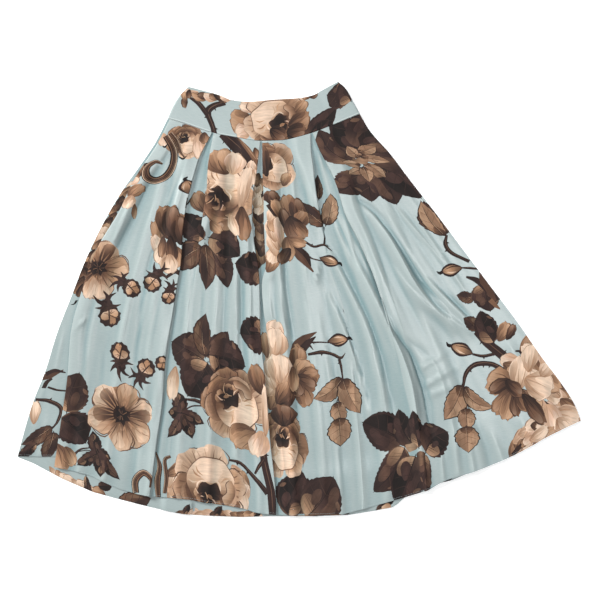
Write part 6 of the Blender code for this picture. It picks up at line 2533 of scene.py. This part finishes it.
# ------------------------------------------------- prints of those pieces
def print_band(art):
    """Roses, leaves and a thorny branch along the front of the waistband."""
    rng = random.Random(41)
    stem(art, ((226, 98), (214, 105), (208, 113), (213, 126), (215, 142)),
         (9, 11, 14, 12, 11), rng, thorns=((0.3, 1), (0.6, -1), (0.8, 1)))
    stem(art, ((190, 100), (199, 104), (208, 113)), (5, 11, 12), rng, thorns=((0.5, 1),))
    for path, w, n, light, way in (
            (((182, 92), (198, 96), (214, 98), (228, 99)), 8, 9, 0.42, 5),
            (((184, 104), (186, 98), (190, 92)), 6, 3, 0.25, None),
            (((290, 96), (304, 98), (316, 96)), 7, 5, 0.35, None)):
        ruffles(art, path, w, n, rng, light, way)
    for bx, by, tx, ty, w, style in (
            (304, 136, 337, 113, 25, "dark"), (308, 138, 330, 124, 16, "dark"),
            (352, 100, 325, 92, 26, "plum"), (352, 102, 340, 80, 26, "dark"),
            (240, 98, 222, 92, 10, "umber")):
        leaf_from(art, (bx, by), (tx, ty), w, style, rng)
    petal_from(art, (253, 122), (230, 119), 28, TAN_PETAL, rng)
    petal_from(art, (256, 112), (240, 104), 16, PINK_PETAL, rng)
    petal_from(art, (250, 128), (236, 136), 16, PINK_PETAL, rng)
    rose(art.pen(275, 121, 0, 1.12, 0.98), 2.0 * 31, 138, random.Random(45), 6, 0.14)
    petal_from(art, (288, 124), (310, 118), 22, BROWN_PETAL, rng)
    petal_from(art, (286, 132), (306, 134), 20, DUSK_PETAL, rng)
    petal_from(art, (296, 112), (306, 101), 14, TAN_PETAL, rng)
    petal_from(art, (270, 130), (286, 139), 16, DUSK_PETAL, rng)


def print_band_back(art):
    """The back of the waistband: flowers and leaves in an arrangement of its own."""
    rng = random.Random(63)
    stem(art, ((184, 104), (202, 106), (224, 112), (244, 116)), (6, 9, 10, 8), rng,
         thorns=((0.4, 1), (0.7, -1)))
    for bx, by, tx, ty, w, style in (
            (210, 108, 190, 116, 18, "dark"), (226, 112, 214, 130, 20, "plum"),
            (262, 118, 262, 136, 18, "umber"), (316, 116, 304, 132, 20, "umber"),
            (320, 112, 344, 118, 22, "dark"), (318, 110, 326, 92, 16, "plum")):
        leaf_from(art, (bx, by), (tx, ty), w, style, rng)
    rose(art.pen(240, 118, 0, 1.05, 0.95), 2.0 * 20, 200, random.Random(65), 5, 0.1)
    bloom(art.pen(286, 117), 2.0 * 21, random.Random(64), 6, 20, 0.2)
    bud(art.pen(200, 100), 2.0 * 7, 140, random.Random(66))


def print_hem_turn(art):
    """What the turned-up allowance shows past the front's edge."""
    rng = random.Random(52)
    ruffles(art, ((52, 474), (68, 480), (84, 486), (102, 494)), 8, 9, rng, 0.78, None)
    leaf_from(art, (86, 478), (90, 504), 8, "dark", rng)
    leaf_from(art, (98, 488), (112, 484), 9, "dark", rng)
    leaf_from(art, (118, 508), (152, 494), 18, "umber", rng)
    ruffles(art, ((178, 514), (206, 514), (234, 515), (260, 515)), 8, 12, rng, 0.55, None)
    for bx, by, tx, ty, w in ((184, 514, 190, 504, 6), (214, 516, 222, 506, 7),
                              (254, 516, 262, 510, 6), (376, 508, 396, 500, 7),
                              (442, 482, 456, 474, 6), (464, 476, 478, 468, 7),
                              (306, 518, 326, 512, 8), (344, 514, 352, 508, 5)):
        leaf_from(art, (bx, by), (tx, ty), w, "dark", rng)
    for px, py, r in ((300, 516, 7), (336, 514, 6), (386, 508, 5)):
        patch_of(art, (px, py), r, 4, 10, (CREAM, TAN, SAND), rng)


def print_back(art):
    """The back's print: the same flowers and leaves in an arrangement of its own."""
    rng = random.Random(61)
    sprays = ((190, 200, 70), (420, 260, 160), (120, 330, 200), (330, 330, 20),
              (470, 400, 110), (230, 420, 300), (90, 440, 60), (350, 480, 240),
              (300, 180, 330), (180, 480, 10), (520, 450, 200), (400, 180, 250))
    for px, py, a0 in sprays:
        for k in range(5):
            a = math.radians(a0 + 72 * k + rng.uniform(-14, 14))
            r = rng.uniform(26, 36)
            leaf_from(art, (px + 4 * math.cos(a), py - 4 * math.sin(a)),
                      (px + r * math.cos(a), py - r * math.sin(a)), rng.uniform(20, 28),
                      ("dark", "plum", "umber")[k % 3], rng, rng.uniform(-.08, .08), 5)
    for k, (px, py, r) in enumerate(((228, 250, 36), (380, 220, 30), (150, 280, 28),
                                     (300, 390, 38), (420, 340, 32), (150, 410, 34),
                                     (480, 470, 28), (260, 490, 34), (70, 400, 22),
                                     (250, 160, 24), (345, 150, 20))):
        if k % 3 == 1:
            bloom(art.pen(px, py), 2.0 * r, random.Random(70 + k), 5 + k % 2, 30 * k, 0.2)
        else:
            rose(art.pen(px, py, 0, 0.96, 1.03), 2.0 * r, 60 + 50 * k,
                 random.Random(70 + k), 5 + k % 2, 0.1)
    for k, (px, py) in enumerate(((270, 300), (440, 430), (200, 350), (360, 290),
                                  (110, 380), (390, 420), (310, 250), (500, 390))):
        bud(art.pen(px, py), 2.0 * rng.uniform(8, 10), 40 * k, random.Random(90 + k))
    for px, py, tx, ty in ((250, 330, 262, 352), (340, 440, 318, 452),
                           (460, 300, 482, 316), (170, 230, 150, 244)):
        spire_from(art, (px, py), (tx, ty), 11, rng)


# =====================================================================
# The pieces
# =====================================================================
printed = satin("printed_satin", 0.27, 0.84)
band_satin = satin("waistband_satin", 0.28, 0.84)
sewing = thread_paint("sewing_thread", ink(168, 186, 190))
tape_paint = satin("zip_tape", 0.62, 0.62, 2.5)

cloth, keep = front_cloth(78)
art = Artwork(cloth)
print_front(art)
front = shell("skirt_front", cloth, keep, art, printed, (0.25, 0.5), lining=(4, 4),
              under=face_floor(cloth, 0.35))
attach(front, "root")
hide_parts("front_panel")
line, up = along(cloth, 1 - 3.0 / LENGTH, True)
hem_thread = threads("hem_stitches", [(line, up)], sewing)
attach(hem_thread, "root")

cloth, keep = back_cloth(52)
art = Artwork(cloth)
print_back(art)
back = shell("skirt_back", cloth, keep, art, printed, (0.25, 0.3), flip=True)
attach(back, "root")
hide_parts("back_panel")

cloth, keep = hem_cloth()
art = Artwork(cloth)
print_hem_turn(art)
turn_up = shell("back_hem_turn", cloth, keep, art, printed, (0.25, 0.3), grid=(3, 4),
                lining=(6, 4))
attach(turn_up, "root")
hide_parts("back_hem")

cloth, keep = band_cloth(True)
art = Artwork(cloth)
print_band(art)
waist_front = shell("waistband_front", cloth, keep, art, band_satin, (1.0, 0.8),
                    grid=(1, 1), lining=(2, 2))
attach(waist_front, "root")
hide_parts("front_waistband")

cloth, keep = band_cloth(False)
art = Artwork(cloth)
print_band_back(art)
waist_back = shell("waistband_back", cloth, keep, art, band_satin, (0.9, 0.9),
                   grid=(1, 2), lining=(2, 2), flip=True)
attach(waist_back, "root")
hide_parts("back_waistband")

cloth, keep = tape_cloth()
tape = shell("zip_closed", cloth, keep, None, tape_paint, (0.3, 0.3), grid=(1, 1),
             lining=(2, 1), base=ink(150, 172, 178), reverse=ink(150, 172, 178))
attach(tape, "root")
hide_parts("side_zip")


# =====================================================================
# Studio
# =====================================================================
cam_data = bpy.data.cameras.new("camera")
cam_data.sensor_width = 36.0
cam_data.lens = 85.0
camera = bpy.data.objects.new("camera", cam_data)
bpy.context.scene.collection.objects.link(camera)
camera.location = (0.002 - 0.00024, -0.002 + 0.0005, 1.2 * 85 / 36)
bpy.context.scene.camera = camera
bpy.context.scene.view_settings.view_transform = "Standard"

floor_mesh = bpy.data.meshes.new("floor")
floor_mesh.from_pydata([(-6, -6, 0), (6, -6, 0), (6, 6, 0), (-6, 6, 0)], [], [(0, 1, 2, 3)])
floor = bpy.data.objects.new("floor", floor_mesh)
bpy.context.scene.collection.objects.link(floor)
floor_paint = plain("floor", (0.97, 0.97, 0.97), 0.9)
glow = floor_paint.node_tree.nodes["Principled BSDF"]
glow.inputs["Emission Color"].default_value = (1, 1, 1, 1)
glow.inputs["Emission Strength"].default_value = 0.28
floor_mesh.materials.append(floor_paint)
floor.location.z = -0.0005


def area_light(name, loc, size, power, aim=(0, 0, 0), colour=(1, 1, 1)):
    d = bpy.data.lights.new(name, "AREA")
    d.energy = power
    d.size = size
    d.color = colour
    o = bpy.data.objects.new(name, d)
    bpy.context.scene.collection.objects.link(o)
    o.location = loc
    o.rotation_euler = (Vector(aim) - Vector(loc)).to_track_quat("-Z", "Y").to_euler()
    return o


area_light("key", (-7.0, 5.0, 5.0), 3.0, 1220, colour=(1.0, 0.99, 0.97))
area_light("overhead", (-1.0, 0.6, 4.4), 1.15, 33, aim=(0.0, 0.0, 0.0))
area_light("overhead_right", (1.0, 0.1, 4.4), 1.3, 66, aim=(0.2, 0.0, 0.0))
area_light("rim", (4.0, -1.0, 2.6), 2.6, 22, colour=(0.93, 0.97, 1.0))
world = bpy.data.worlds.new("studio")
bpy.context.scene.world = world
world.use_nodes = True
wn, wl = world.node_tree.nodes, world.node_tree.links
way = wn.new("ShaderNodeTexCoord")
dot = wn.new("ShaderNodeVectorMath")
dot.operation = "DOT_PRODUCT"
dot.inputs[1].default_value = (-0.62, 0.42, 0.66)
wl.new(way.outputs["Generated"], dot.inputs[0])
level = wn.new("ShaderNodeMapRange")
level.inputs["From Min"].default_value = 0.1
level.inputs["From Max"].default_value = 1.0
level.inputs["To Min"].default_value = 0.08
level.inputs["To Max"].default_value = 0.34
wl.new(dot.outputs["Value"], level.inputs["Value"])
wn["Background"].inputs["Color"].default_value = (1, 1, 1, 1)
wl.new(level.outputs["Result"], wn["Background"].inputs["Strength"])
